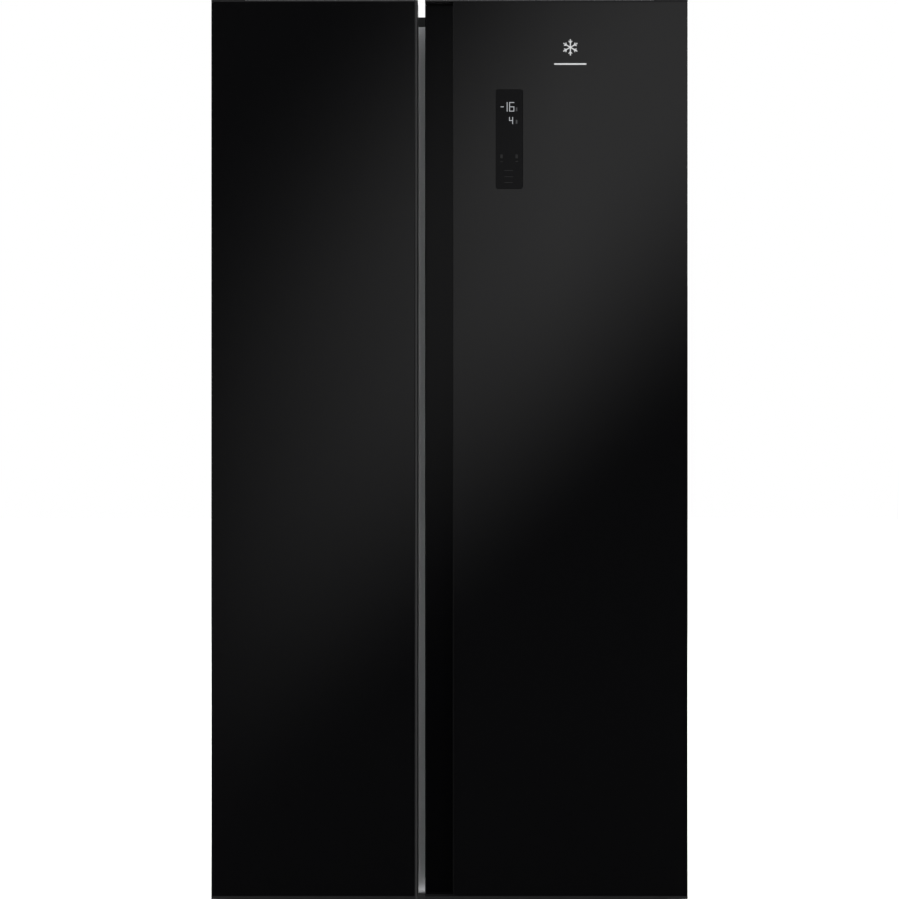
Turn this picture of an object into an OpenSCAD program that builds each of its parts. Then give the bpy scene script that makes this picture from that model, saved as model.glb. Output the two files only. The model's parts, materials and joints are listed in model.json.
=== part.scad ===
// Side by side refrigerator with black glass doors and a full-height recessed grip.
// Millimetres. X runs to the right, Y to the back and Z up. The origin lies on the floor,
// under the middle of the bounding box.

/* [Overall] */
// Width across both doors
total_w = 911; // [760:1:1100]
// Depth from the emblem on the glass to the rear spacers
total_d = 700; // [580:1:860]
// Height of the doors' upper edge above the floor
door_top = 1765; // [1460:1:2130]
// Height of the doors' lower edge above the floor
door_bottom = 45; // [45:1:60]

/* [Cabinet] */
// Thickness of the outer sheet steel
sheet_t = 0.6; // [0.5:0.1:1]
// Thickness of the inner liners
liner_t = 2; // [1.5:0.5:3]
// How far the cabinet's sides stand in from the doors' sides
side_inset = 2; // [1:0.5:6]
// How far the cabinet's top lies below the doors' upper edge
top_drop = 15; // [15:1:25]
// Height of the base plate's underside above the floor
cabinet_bottom = 30; // [28:1:30]
// Thickness of the base plate
base_t = 2; // [1.5:0.5:3]
// Gap that the rear spacers keep to a wall
rear_gap = 10; // [6:1:30]
// Wall between the outside and the freezer
freezer_wall = 58.5; // [50:0.5:70]
// Wall between the outside and the fridge
fridge_wall = 58.5; // [44:0.5:70]
// Divider between the two compartments
divider_w = 65; // [60:0.5:80]
// Insulated roof, from the top sheet to the ceiling
roof_wall = 60; // [45:1:80]
// Insulated floor, from the base plate's underside to the floor of the compartments
floor_wall = 65; // [45:1:80]
// Insulated back, from the rear sheet to the back of the compartments
back_wall = 60; // [45:1:80]
// Joint between neighbouring slabs of insulation
slab_joint = 0.1; // [0.05:0.05:0.3]
// Width of the front flange of the side sheets
side_flange = 36; // [34:1:44]
// Height of the front flange of the top sheet
top_flange = 19; // [10:1:26]

/* [Machine bay] */
// Depth of the machine bay, from the rear sheet
bay_d = 200; // [190:1:240]
// Height of the bay's ceiling above the floor
bay_top = 240; // [235:1:280]
// Insulation between the bay and the compartments
bay_wall = 45; // [35:1:60]

/* [Doors] */
// Width of the freezer door
freezer_door_w = 395.2; // [340:0.1:450]
// Gap between the two doors
door_gap = 13.4; // [8:0.1:18]
// Thickness of a door, from the glass to its back
door_t = 67.4; // [60:0.1:80]
// Thickness of the front glass
glass_t = 4; // [3:0.5:5]
// Wall of the door frames and the grip channel
skin_t = 2; // [1.5:0.5:3]
// Visible thickness of the upper end caps
cap_top_t = 3.5; // [2:0.5:8]
// Visible thickness of the lower end caps
cap_bottom_t = 5.5; // [4:0.5:10]
// Rounding of the freezer door's free edge
edge_r = 6; // [4:0.5:10]
// Width of the recessed grip channel
grip_w = 53.6; // [40:0.1:70]
// Depth of the grip channel behind the glass front
grip_depth = 18; // [14:0.5:26]
// How far the finger pockets reach in behind the edges
pocket_w = 14; // [10:0.5:20]
// Depth, front to back, of the freezer door's finger pocket
pocket_d = 26; // [20:0.5:28]
// Thickness of the door gaskets
gasket_t = 12; // [8:0.5:16]
// Width of the door gaskets
gasket_w = 18; // [14:0.5:18]
// Depth of the dykes that stand in from the back of a door
dyke_d = 42; // [34:1:50]
// Width of a dyke
dyke_w = 22; // [18:1:28]
// Free space that each swinging dyke and bin keeps to the cabinet's walls
swing_clear = 4; // [3:0.5:8]

/* [Hinges] */
// Distance of the hinge pins from the doors' outer sides
pin_inset = 17.5; // [16:0.5:18]
// Distance of the hinge pins behind the glass front
pin_setback = 27.4; // [24:0.1:32]
// Diameter of the hinge pins
pin_d = 10; // [8:0.5:12]
// Length of pin that enters a door
pin_len = 20; // [14:1:26]
// Radial clearance of every pin and shaft in its bore
fit = 0.05; // [0.02:0.01:0.09]
// Thickness of the hinge brackets
bracket_t = 3; // [2.5:0.5:3]

/* [Front] */
// How far the emblem stands proud of the glass
emblem_t = 0.6; // [0.4:0.1:1]
// Width across the emblem
emblem_d = 31; // [20:1:40]
// Length of the plain bar under the emblem
emblem_bar = 62; // [40:1:80]
// Width of the touch panel
panel_w = 51; // [40:0.5:70]
// Height of the touch panel
panel_h = 189; // [140:1:240]
// Distance from the grip channel to the touch panel
panel_from_grip = 82; // [40:1:120]
// Distance from the door's upper edge to the touch panel
panel_from_top = 172; // [120:1:260]
// Distance from the door's upper edge to the middle of the emblem
emblem_from_top = 91; // [60:1:100]

/* [Inside] */
// Space between the back of the door bins and the shelf fronts
bin_to_shelf = 10; // [6:1:20]
// Play between a door bin and the ledges beside it
bin_play = 0.5; // [0.3:0.1:1]
// Depth of the door bins
bin_d = 111; // [90:1:115]
// Height of the door bins
bin_h = 92; // [70:1:120]
// Wall of bins and drawers
bin_wall = 3; // [2:0.5:4]
// Thickness of the glass shelves
shelf_t = 4; // [3:0.5:6]
// Height of each drawer and crisper
drawer_h = 165; // [130:1:180]
// Shelves in the fridge above the crispers
fridge_shelves = 5; // [3:1:6]
// Space above the freezer's top shelf
freezer_top_space = 270; // [200:1:300]
// Space for the ice maker and its bin
ice_space = 340; // [330:1:380]

/* [Hidden] */
$fn = 64;

paint_black = [0.2, 0.2, 0.21];
trim_black = [0.12, 0.12, 0.13];
glass_black = [0.03, 0.03, 0.035];
bare_steel = [0.7, 0.71, 0.72];
liner_white = [0.94, 0.95, 0.95];
foam_cream = [0.93, 0.88, 0.7];
clear_blue = [0.85, 0.9, 0.93];

// Drawers: flange and front thickness, and the pull along the top of the front
flange_t = 3;
front_t = 5;
pull_inset = 30;
pull_h = 16;
pull_wall = 4;
pull_skin = 3;

// Bin lugs: how far their head and foot are below the rim, and the ledge under them
lug_head = 20;
lug_foot = 40;
lug_ledge_t = 12;

// Wall of the two air duct covers
duct_t = 3;

// Play between a hinge's arm and the door
hinge_gap = 1;
eps = 0.01;

// Planes of the doors, front to back
half_w = total_w / 2;
front_y = -total_d / 2 + emblem_t;
glass_y = front_y + glass_t;
door_y = front_y + door_t;
cab_y0 = door_y + gasket_t;
rear_y = total_d / 2;
cab_y1 = rear_y - rear_gap;
grip_y = front_y + grip_depth;

// Cabinet
cab_x = half_w - side_inset;
cab_z1 = door_top - top_drop;
deck_z = cabinet_bottom + base_t;
divider_x = -half_w + freezer_door_w + door_gap / 2;
freezer_x0 = -cab_x + freezer_wall;
freezer_x1 = divider_x - divider_w / 2;
fridge_x0 = divider_x + divider_w / 2;
fridge_x1 = cab_x - fridge_wall;
room_z0 = cabinet_bottom + floor_wall;
room_z1 = cab_z1 - roof_wall;
room_y1 = cab_y1 - back_wall;
bay_y0 = cab_y1 - bay_d;
step_y = bay_y0 - bay_wall;
step_z = bay_top + bay_wall;
back_sheet_y = cab_y1 - 2 * sheet_t;

// Doors
freezer_door_x0 = -half_w;
freezer_door_x1 = freezer_door_x0 + freezer_door_w;
fridge_door_x0 = freezer_door_x1 + door_gap;
fridge_door_x1 = half_w;
grip_x = fridge_door_x0 + grip_w;
grip_r = 2.5;
grip_back_y = grip_y + 2 * grip_r;
glass_z0 = door_bottom + cap_bottom_t;
glass_z1 = door_top - cap_top_t;
pin_x = half_w - pin_inset;
pin_y = front_y + pin_setback;
pin_r = pin_d / 2;
arm_half = pin_r + 7;
boss_r = pin_r + 5;
bore_depth = pin_len + 1;
panel_x = grip_x + panel_from_grip;
panel_z = door_top - panel_from_top - panel_h;
panel_r = 4;
panel_box_d = 12;
emblem_x = (grip_x + fridge_door_x1) / 2;
emblem_z = door_top - emblem_from_top;

// Gaskets stay on the free side of the hinge pins, so they lift off as a door opens
gasket_hinge_x = pin_x - 1;
gasket_free_inset = 4.8;
gasket_bottom_inset = 15;
gasket_top_inset = 42;
gasket_z0 = door_bottom + gasket_bottom_inset;
gasket_z1 = door_top - gasket_top_inset;

// Dykes and bins reach only as far as an arc about the pin lets them
dyke_y = door_y + dyke_d;
bin_y0 = door_y + 3;
lug_y1 = bin_y0 + 30;
bin_y1 = bin_y0 + bin_d;
wall_y_rel = cab_y0 - pin_y;
freezer_reach = norm([freezer_x1 + pin_x, wall_y_rel]) - swing_clear;
fridge_reach = norm([pin_x - fridge_x0, wall_y_rel]) - swing_clear;
function reach_at(reach, y) = sqrt(reach * reach - (y - pin_y) * (y - pin_y));
dyke_gap = 6;
dyke_z0 = room_z0 + 8;
dyke_z1 = room_z1 - 8;
freezer_dyke_x0 = freezer_x0 + dyke_gap;
freezer_dyke_x1 = -pin_x + reach_at(freezer_reach, dyke_y) - 1;
fridge_dyke_x0 = pin_x - reach_at(fridge_reach, dyke_y) + 1;
fridge_dyke_x1 = fridge_x1 - dyke_gap;
lug_w = 6;
lug_gap = 2;
bin_side = lug_w + lug_gap;
freezer_bin_x0 = freezer_dyke_x0 + dyke_w + bin_side;
freezer_bin_x1 = min(freezer_dyke_x1 - dyke_w, -pin_x + reach_at(freezer_reach, bin_y1)) - bin_side;
fridge_bin_x0 = max(fridge_dyke_x0 + dyke_w, pin_x - reach_at(fridge_reach, bin_y1)) + bin_side;
fridge_bin_x1 = fridge_dyke_x1 - dyke_w - bin_side;
bin_foot_gap = 12;
bin_headroom = 158;
bin_low_z = dyke_z0 + dyke_w + bin_foot_gap;
bin_high_z = dyke_z1 - dyke_w - bin_h - bin_headroom;
bin_mid_z = (bin_low_z + bin_high_z) / 2;

// The dairy lid's hinge line runs along the back of the top bin
lid_y = bin_y0 + 7;
lid_z = bin_high_z + bin_h + 6;
lid_pin_r = 2.5;
ear_w = 5;

// Shelves and drawers
shelf_y0 = bin_y1 + bin_to_shelf;
freezer_duct_d = 52;
duct_y = room_y1 - freezer_duct_d;
trim_d = 14;
trim_h = 12;
trim_wall = 3;
side_gap = 1.5;
ledge_w = 9;
ledge_h = 6;
drawer_side = ledge_w + 2;
drawer_low_z = room_z0 + 6;
drawer_gap = 14;
drawer_high_z = max(drawer_low_z + drawer_h + drawer_gap, step_z + 6);
shelf_low_z = drawer_high_z + drawer_h + drawer_gap;
pull_d = 7;
drawer_y0 = shelf_y0 + pull_d;
freezer_shelf_top = room_z1 - freezer_top_space;
ice_shelf = freezer_shelf_top - ice_space;
freezer_shelf_z = [shelf_low_z, (shelf_low_z + ice_shelf) / 2, ice_shelf, freezer_shelf_top];
fridge_pitch = (room_z1 - shelf_low_z) / fridge_shelves;
fridge_shelf_z = [for (i = [0 : fridge_shelves - 1]) shelf_low_z + i * fridge_pitch];
fridge_duct_d = 24;
fridge_shelf_y1 = room_y1 - fridge_duct_d - 3;
freezer_shelf_y1 = duct_y - 4;

// Ice maker, hung under the freezer's top shelf
ice_x = (freezer_x0 + freezer_x1) / 2;
ice_y0 = shelf_y0 + 30;
tray_l = 150;
tray_w = 84;
tray_h = 28;
tray_below = 22;
tray_wall = 3;
tray_rim = 2;
tray_taper = 5;
tray_cells = 4;
tray_pitch = (tray_l - 2 * tray_rim) / tray_cells;
tray_turn_r = norm([tray_w / 2, tray_below]) + 3;
ice_top_z = freezer_shelf_top - trim_h / 2;
ice_axis_z = ice_top_z - 3 - tray_turn_r;
trunnion_r = 5;
ice_plate_t = 4;
tray_y0 = ice_y0 + ice_plate_t + 4;

// Fans
hub_r = 14;
shaft_r = 1.5;
freezer_fan_r = 50;
bay_fan_r = 74;
fan_t = 16;
motor_r = 21;
shroud_gap = 4;
bay_fan_z = deck_z + bay_fan_r + shroud_gap + 16;
fan_above_step = 500;
freezer_fan_z = step_z + fan_above_step;

// Machine bay, laid out from the left
bay_y_mid = (bay_y0 + back_sheet_y) / 2;
comp_x = -cab_x + 150;
comp_r = 75;
comp_z0 = deck_z + 23;
comp_h = 95;
mount_h = 15;
mount_dx = 85;
mount_dy = 48;
port_l = 5;
discharge_dx = -20;
discharge_z = comp_z0 + 30;
discharge_r = 3;
suction_dx = 30;
suction_z = comp_z0 + 70;
suction_r = 4;
shroud_x = -cab_x + 300;
cond_x0 = shroud_x + 42;
cond_l = 180;
cond_z0 = deck_z + 36;
cond_h = 140;
box_l = 130;
box_x1 = cab_x - 24;
inlet_x = -cab_x + 60;
inlet_z = deck_z + 60;
inlet_w = 30;
inlet_h = 24;
inlet_y1 = cab_y1 + 1.5;
socket_d = 16;

// Feet and rollers
foot_x = cab_x - 28;
foot_y = cab_y0 + 35;
foot_r = 17;
foot_pad_h = 8;
stem_r = 5;
web_z0 = 14;
wheel_r = web_z0;
axle_r = 4;
roller_y = cab_y1 - 40;
wheel_x0 = cab_x - 24;
wheel_w = 14;

// A box between two opposite corners
module block(lo, hi) {
    translate(lo) cube(hi - lo);
}

// A slab of insulation, with half a joint left free all round
module slab(lo, hi) {
    half = slab_joint / 2 * [1, 1, 1];
    block(lo + half, hi - half);
}

// Both sides of the middle plane
module both_sides() {
    children();
    mirror([1, 0, 0]) children();
}

// A plan outline, raised between two heights
module upright(z0, z1) {
    translate([0, 0, z0]) linear_extrude(z1 - z0) children();
}

// A side outline in Y and Z, carried along X
module along_x(x0, x1, points) {
    translate([x0, 0, 0]) rotate([90, 0, 90]) linear_extrude(x1 - x0) polygon(points);
}

// A front outline in X and Z, carried along Y
module along_y(y0, y1) {
    translate([0, y1, 0]) rotate([90, 0, 0]) linear_extrude(y1 - y0) children();
}

// A cylinder along X
module rod_x(x0, x1, y, z, r) {
    translate([x0, y, z]) rotate([0, 90, 0]) cylinder(h = x1 - x0, r = r);
}

// A cylinder along Y
module rod_y(x, y0, y1, z, r) {
    translate([x, y1, z]) rotate([90, 0, 0]) cylinder(h = y1 - y0, r = r);
}

// A flat rectangle with round corners, from its lower left corner
module rounded_rect(w, h, r) {
    translate([r, 0]) square([w - 2 * r, h]);
    translate([0, r]) square([w, h - 2 * r]);
    for (x = [r, w - r], z = [r, h - r]) translate([x, z]) circle(r);
}

// A tube through a list of points, with a ball at each bend
module pipe(points, r) {
    for (i = [0 : len(points) - 2]) {
        step = points[i + 1] - points[i];
        length = norm(step);
        translate(points[i])
            rotate([0, acos(step.z / length), atan2(step.y, step.x)])
                cylinder(h = length, r = r, $fn = 24);
        if (i > 0) translate(points[i]) sphere(r, $fn = 24);
    }
}

// An axial fan about Z, from z = 0 up
module fan(tip_r, blades) {
    difference() {
        union() {
            cylinder(h = fan_t, r = hub_r);
            for (i = [0 : blades - 1]) rotate(i * 360 / blades) intersection() {
                translate([0, 0, fan_t / 2]) rotate([32, 0, 0])
                    translate([hub_r / 2, -tip_r * 0.3, -0.8]) cube([tip_r, tip_r * 0.6, 1.6]);
                cylinder(h = fan_t, r = tip_r);
            }
        }
        translate([0, 0, -eps]) cylinder(h = fan_t + 2 * eps, r = shaft_r + fit);
    }
}

// A motor behind a fan about Z, on arms in a ring that guides the air
module fan_mount(tip_r, ring_h) {
    ring_r = tip_r + shroud_gap;
    difference() {
        cylinder(h = ring_h, r = ring_r + 2.5);
        translate([0, 0, -eps]) cylinder(h = ring_h + 2 * eps, r = ring_r);
    }
    for (a = [90, 210, 330]) rotate(a) translate([motor_r - 2, -4, 0]) cube([ring_r - motor_r + 3, 8, 4]);
    cylinder(h = ring_h - fan_t - 6, r = motor_r);
    cylinder(h = ring_h - 2, r = shaft_r);
}

// A block of fins on rows of tube along X, joined by short tubes at their ends
module finned_coil(lo, hi, fins, columns, rows, tube_r) {
    pitch_y = (hi.y - lo.y) / columns;
    pitch_z = (hi.z - lo.z) / rows;
    for (i = [0 : fins - 1])
        translate([lo.x + i * (hi.x - lo.x - 0.5) / (fins - 1), lo.y, lo.z])
            cube([0.5, hi.y - lo.y, hi.z - lo.z]);
    for (c = [0 : columns - 1], r = [0 : rows - 1])
        rod_x(lo.x - 6, hi.x + 6, lo.y + (c + 0.5) * pitch_y, lo.z + (r + 0.5) * pitch_z, tube_r, $fn = 24);
    for (c = [0 : columns - 1], r = [0 : rows - 2])
        translate([r % 2 == 0 ? hi.x + 6 - tube_r : lo.x - 6 + tube_r,
                   lo.y + (c + 0.5) * pitch_y, lo.z + (r + 0.5) * pitch_z])
            cylinder(h = pitch_z, r = tube_r * 0.9, $fn = 24);
}

// The inside of a compartment, with the step over the machine bay
module room(x0, x1, grow, front) {
    along_x(x0 - grow, x1 + grow, [
        [front, room_z0 - grow], [step_y + grow, room_z0 - grow], [step_y + grow, step_z - grow],
        [room_y1 + grow, step_z - grow], [room_y1 + grow, room_z1 + grow], [front, room_z1 + grow]
    ]);
}

// A ledge along one side wall, under something that rests at height z
module ledge(x, side, z, y1) {
    block([min(x, x + side * ledge_w), drawer_y0, z - ledge_h], [max(x, x + side * ledge_w), y1, z]);
}

// A liner with its front lip, the ledges for shelves and the runners for two drawers
module liner(x0, x1, lip_x0, lip_x1, shelf_z, shelf_y1) {
    difference() {
        union() {
            room(x0, x1, liner_t, cab_y0 + liner_t);
            block([lip_x0, cab_y0, deck_z], [lip_x1, cab_y0 + liner_t, cab_z1 - top_flange]);
        }
        room(x0, x1, 0, cab_y0 - eps);
    }
    for (z = shelf_z) {
        ledge(x0 - eps, 1, z, shelf_y1 - 10);
        ledge(x1 + eps, -1, z, shelf_y1 - 10);
    }
    for (drawer = [[drawer_low_z, step_y - 12], [drawer_high_z, shelf_y1 - 10]]) {
        ledge(x0 - eps, 1, drawer[0] + drawer_h - flange_t, drawer[1]);
        ledge(x1 + eps, -1, drawer[0] + drawer_h - flange_t, drawer[1]);
    }
}

// The finger space under a drawer's pull
module pull_hollow(x0, x1, z1) {
    block([x0 + pull_wall, drawer_y0 - pull_d + pull_skin, z1 - pull_h - 1],
          [x1 - pull_wall, drawer_y0 - eps, z1 - pull_wall]);
}

// A pull-out box with a thick front and flanges that run on the liner's ledges
module drawer(x0, x1, y1, z0) {
    z1 = z0 + drawer_h;
    body_x0 = x0 + drawer_side;
    body_x1 = x1 - drawer_side;
    difference() {
        union() {
            block([body_x0, drawer_y0, z0], [body_x1, y1, z1]);
            block([x0 + side_gap, drawer_y0 + front_t + 1, z1 - flange_t], [x1 - side_gap, y1, z1]);
            block([x0 + side_gap, drawer_y0, z0], [x1 - side_gap, drawer_y0 + front_t, z1]);
            block([x0 + pull_inset, drawer_y0 - pull_d, z1 - pull_h], [x1 - pull_inset, drawer_y0, z1]);
        }
        block([body_x0 + bin_wall, drawer_y0 + front_t, z0 + bin_wall],
              [body_x1 - bin_wall, y1 - bin_wall, z1 + eps]);
        pull_hollow(x0 + pull_inset, x1 - pull_inset, z1);
        for (x = [x0, x1]) block([x - ledge_w - 1, drawer_y0 - eps, z1 - flange_t - ledge_h - 1],
                                 [x + ledge_w + 1, drawer_y0 + front_t + eps, z1 - flange_t]);
    }
}

// A door bin on two side lugs
module door_bin(x0, x1, z0) {
    difference() {
        union() {
            block([x0, bin_y0, z0], [x1, bin_y1, z0 + bin_h]);
            for (x = [x0 - lug_w, x1 - eps])
                block([x, bin_y0 + 4, z0 + bin_h - lug_foot],
                      [x + lug_w + eps, lug_y1, z0 + bin_h - lug_head]);
        }
        block([x0 + bin_wall, bin_y0 + bin_wall, z0 + bin_wall],
              [x1 - bin_wall, bin_y1 - bin_wall, z0 + bin_h + eps]);
    }
}

// The two ledges on a door's dykes that carry a bin's lugs
module bin_ledges(x0, x1, z0) {
    for (x = [x0 - bin_side, x1 + bin_play])
        block([x, door_y, z0 + bin_h - lug_foot - lug_ledge_t],
              [x + bin_side - bin_play, lug_y1, z0 + bin_h - lug_foot]);
}

// A door's inner liner: a sheet with a hollow ring of dykes
module door_liner(x0, x1, d0, d1, bin_x0, bin_x1) {
    difference() {
        union() {
            block([x0 + skin_t, door_y - liner_t, glass_z0], [x1 - skin_t, door_y, glass_z1]);
            block([d0, door_y - eps, dyke_z0], [d1, dyke_y, dyke_z1]);
        }
        block([d0 + dyke_w, door_y, dyke_z0 + dyke_w], [d1 - dyke_w, dyke_y + eps, dyke_z1 - dyke_w]);
        dyke_core(d0, d1, door_y - liner_t - eps, -eps);
    }
    for (z = [bin_low_z, bin_mid_z, bin_high_z]) bin_ledges(bin_x0, bin_x1, z);
}

// The foam that fills a ring of dykes
module dyke_core(d0, d1, y0, joint) {
    in = dyke_w - liner_t;
    for (x = [d0 + liner_t, d1 - in])
        block([x, y0, dyke_z0 + liner_t], [x + in - liner_t, dyke_y - liner_t, dyke_z1 - liner_t]);
    for (z = [dyke_z0 + liner_t, dyke_z1 - in])
        block([d0 + in + joint, y0, z], [d1 - in - joint, dyke_y - liner_t, z + in - liner_t]);
}

// A gasket ring between two X positions
module gasket(x0, x1) {
    difference() {
        block([x0, door_y, gasket_z0], [x1, cab_y0, gasket_z1]);
        block([x0 + gasket_w, door_y - eps, gasket_z0 + gasket_w],
              [x1 - gasket_w, cab_y0 + eps, gasket_z1 - gasket_w]);
    }
}

// The bosses at both ends of a door that its hinge pins enter
module hinge_bosses(x, grow) {
    for (z = [door_bottom + 1, door_top - bore_depth - 4])
        translate([x, pin_y, z - grow]) cylinder(h = bore_depth + 3 + 2 * grow, r = boss_r);
}

// The bores of those bosses
module hinge_bores(x) {
    for (z = [door_bottom - eps, door_top - bore_depth])
        translate([x, pin_y, z]) cylinder(h = bore_depth + eps, r = pin_r + fit);
}

module side_panel() {
    block([cab_x - sheet_t, cab_y0, cabinet_bottom], [cab_x, cab_y1, cab_z1]);
    block([cab_x - side_flange, cab_y0, cabinet_bottom], [cab_x, cab_y0 + sheet_t, cab_z1]);
    block([cab_x - 12, cab_y1 - sheet_t, cabinet_bottom], [cab_x, cab_y1, cab_z1]);
}

module side_panel_left() {
    color(paint_black) mirror([1, 0, 0]) side_panel();
}

module side_panel_right() {
    color(paint_black) side_panel();
}

module top_panel() {
    in_x = cab_x - sheet_t;
    color(paint_black) {
        block([-in_x, cab_y0 + sheet_t, cab_z1 - sheet_t], [in_x, cab_y1 - sheet_t, cab_z1]);
        block([-cab_x + side_flange, cab_y0, cab_z1 - top_flange],
              [cab_x - side_flange, cab_y0 + sheet_t, cab_z1]);
    }
}

// The back sheet bends forward over the machine bay and down its front wall
module back_panel() {
    in_x = cab_x - sheet_t;
    color([0.62, 0.63, 0.64]) {
        block([-in_x, back_sheet_y, bay_top - sheet_t], [in_x, back_sheet_y + sheet_t, cab_z1 - sheet_t]);
        block([-in_x, bay_y0, bay_top - sheet_t], [in_x, back_sheet_y + eps, bay_top]);
        block([-in_x, bay_y0, deck_z], [in_x, bay_y0 + sheet_t, bay_top]);
    }
}

module base_plate() {
    in_x = cab_x - sheet_t;
    color([0.3, 0.3, 0.31]) difference() {
        union() {
            block([-in_x, cab_y0 + sheet_t, cabinet_bottom], [in_x, back_sheet_y, deck_z]);
            block([-foot_x - 20, cab_y0, web_z0], [foot_x + 20, cab_y0 + 2, cabinet_bottom + eps]);
            both_sides() {
                block([in_x - 2.5, cab_y0 + sheet_t, web_z0 - 8],
                      [in_x - 0.5, back_sheet_y, cabinet_bottom + eps]);
                block([wheel_x0 - 6, roller_y - wheel_r, web_z0 - 8],
                      [wheel_x0 - 3, roller_y + wheel_r, cabinet_bottom + eps]);
                translate([foot_x, foot_y, foot_pad_h + 4])
                    cylinder(h = cabinet_bottom - foot_pad_h - 4 + eps, r = stem_r + 4);
            }
        }
        both_sides() {
            translate([foot_x, foot_y, foot_pad_h])
                cylinder(h = cabinet_bottom - foot_pad_h, r = stem_r + fit);
            rod_x(wheel_x0 - 10, cab_x + 1, roller_y, wheel_r, axle_r + fit);
        }
    }
}

// The insulation, as the slabs that lie between the sheets and the liners
module cabinet_foam() {
    x0 = -cab_x + sheet_t;
    x1 = cab_x - sheet_t;
    y0 = cab_y0 + liner_t;
    top = cab_z1 - sheet_t;
    left = freezer_x0 - liner_t;
    right = fridge_x1 + liner_t;
    roof = room_z1 + liner_t;
    floor_top = room_z0 - liner_t;
    back = room_y1 + liner_t;
    step_back = step_y + liner_t;
    step_top = step_z - liner_t;
    divider = [freezer_x1 + liner_t, fridge_x0 - liner_t];
    color(foam_cream) {
        slab([x0, y0, bay_top], [left, back_sheet_y, top]);
        slab([x0, y0, deck_z], [left, bay_y0, bay_top]);
        slab([right, y0, bay_top], [x1, back_sheet_y, top]);
        slab([right, y0, deck_z], [x1, bay_y0, bay_top]);
        slab([left, y0, roof], [right, back_sheet_y, top]);
        slab([left, back, step_top], [right, back_sheet_y, roof]);
        slab([left, bay_y0, bay_top], [right, back_sheet_y, step_top]);
        slab([left, step_back, deck_z], [right, bay_y0, step_top]);
        slab([left, y0, deck_z], [right, step_back, floor_top]);
        slab([divider[0], y0, step_top], [divider[1], back, roof]);
        slab([divider[0], y0, floor_top], [divider[1], step_back, step_top]);
    }
}

module freezer_liner() {
    color(liner_white)
        liner(freezer_x0, freezer_x1, -cab_x + side_flange, freezer_x1, freezer_shelf_z, freezer_shelf_y1);
}

module fridge_liner() {
    color(liner_white)
        liner(fridge_x0, fridge_x1, fridge_x0, cab_x - side_flange, fridge_shelf_z, fridge_shelf_y1);
}

module divider_cover() {
    color([0.32, 0.33, 0.34])
        block([freezer_x1, cab_y0, deck_z], [fridge_x0, cab_y0 + liner_t, cab_z1 - top_flange]);
}

module kick_plate() {
    x = pin_x - 26;
    y0 = cab_y0 - 5;
    z0 = 8;
    t = 3;
    pitch = 24;
    slot_w = 16;
    slot_z = 14;
    slots = floor((2 * x - 60) / pitch);
    color([0.08, 0.08, 0.08]) difference() {
        union() {
            block([-x, y0, z0], [x, y0 + t, cabinet_bottom + z0]);
            both_sides() block([x - 60, y0, 2 * z0], [x - 40, cab_y0, 28]);
        }
        for (i = [0 : slots - 1]) {
            slot_x = (i - slots / 2) * pitch + (pitch - slot_w) / 2;
            block([slot_x, y0 - eps, slot_z], [slot_x + slot_w, y0 + t + eps, slot_z + t]);
        }
    }
}

// Foot and riser on the cabinet's top, an arm over the door and the pin
module top_hinges() {
    arm_z = door_top + hinge_gap;
    foot_y0 = cab_y0 + 2;
    foot_y1 = cab_y0 + 70;
    foot_x0 = pin_x - 40;
    screw_r = 3;
    color(bare_steel) both_sides() {
        upright(arm_z, arm_z + bracket_t) {
            translate([pin_x, pin_y]) circle(arm_half);
            translate([pin_x - arm_half, pin_y]) square([2 * arm_half, cab_y0 + 5 - pin_y]);
        }
        block([pin_x - arm_half, foot_y0, cab_z1], [pin_x + arm_half, cab_y0 + 5, arm_z + bracket_t]);
        difference() {
            block([foot_x0, foot_y0, cab_z1], [pin_x + arm_half, foot_y1, cab_z1 + bracket_t]);
            for (x = [foot_x0 + 10, pin_x + 2]) translate([x, foot_y1 - 14, cab_z1 - eps])
                cylinder(h = bracket_t + 2 * eps, r = screw_r);
        }
        translate([pin_x, pin_y, door_top - pin_len]) cylinder(h = pin_len + 2, r = pin_r);
    }
}

// A shell over each top hinge, open below
module hinge_covers() {
    z = door_top + hinge_gap;
    top = z + 10;
    y0 = pin_y - 18;
    y1 = cab_y0 + 84;
    wall = 2;
    nose_h = 5;
    slope = 32;
    drop = 8;
    x0 = pin_x - 46;
    x1 = half_w - 1;
    color([0.1, 0.1, 0.1]) both_sides() difference() {
        along_x(x0, x1, [
            [y0, z], [y0, z + nose_h], [y0 + slope, top], [y1 - drop, top],
            [y1, cab_z1], [cab_y0 - 4, cab_z1], [cab_y0 - 4, z]
        ]);
        along_x(x0 + wall, x1 - wall, [
            [y0 + wall, z - 1], [y0 + wall, z + nose_h - wall], [y0 + slope, top - wall],
            [y1 - drop - wall, top - wall], [y1 - wall, cab_z1 - 1], [cab_y0 - 4 + wall, cab_z1 - 1],
            [cab_y0 - 4 + wall, z - 1]
        ]);
    }
}

module bottom_hinges() {
    arm_z = door_bottom - hinge_gap;
    color(bare_steel) both_sides() {
        upright(arm_z - 4, arm_z) {
            translate([pin_x, pin_y]) circle(arm_half);
            translate([pin_x - arm_half, pin_y]) square([2 * arm_half, cab_y0 - pin_y]);
        }
        block([pin_x - arm_half, cab_y0 - bracket_t, web_z0], [pin_x + arm_half, cab_y0, arm_z]);
        translate([pin_x, pin_y, arm_z - 2]) cylinder(h = pin_len + 3, r = pin_r);
    }
}

module foot() {
    cylinder(h = foot_pad_h - 3, r = foot_r);
    cylinder(h = foot_pad_h, r = foot_r - 4);
    cylinder(h = cabinet_bottom - 2, r = stem_r);
}

module foot_left() {
    color([0.12, 0.12, 0.12]) translate([-foot_x, foot_y, 0]) foot();
}

module foot_right() {
    color([0.12, 0.12, 0.12]) translate([foot_x, foot_y, 0]) foot();
}

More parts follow.
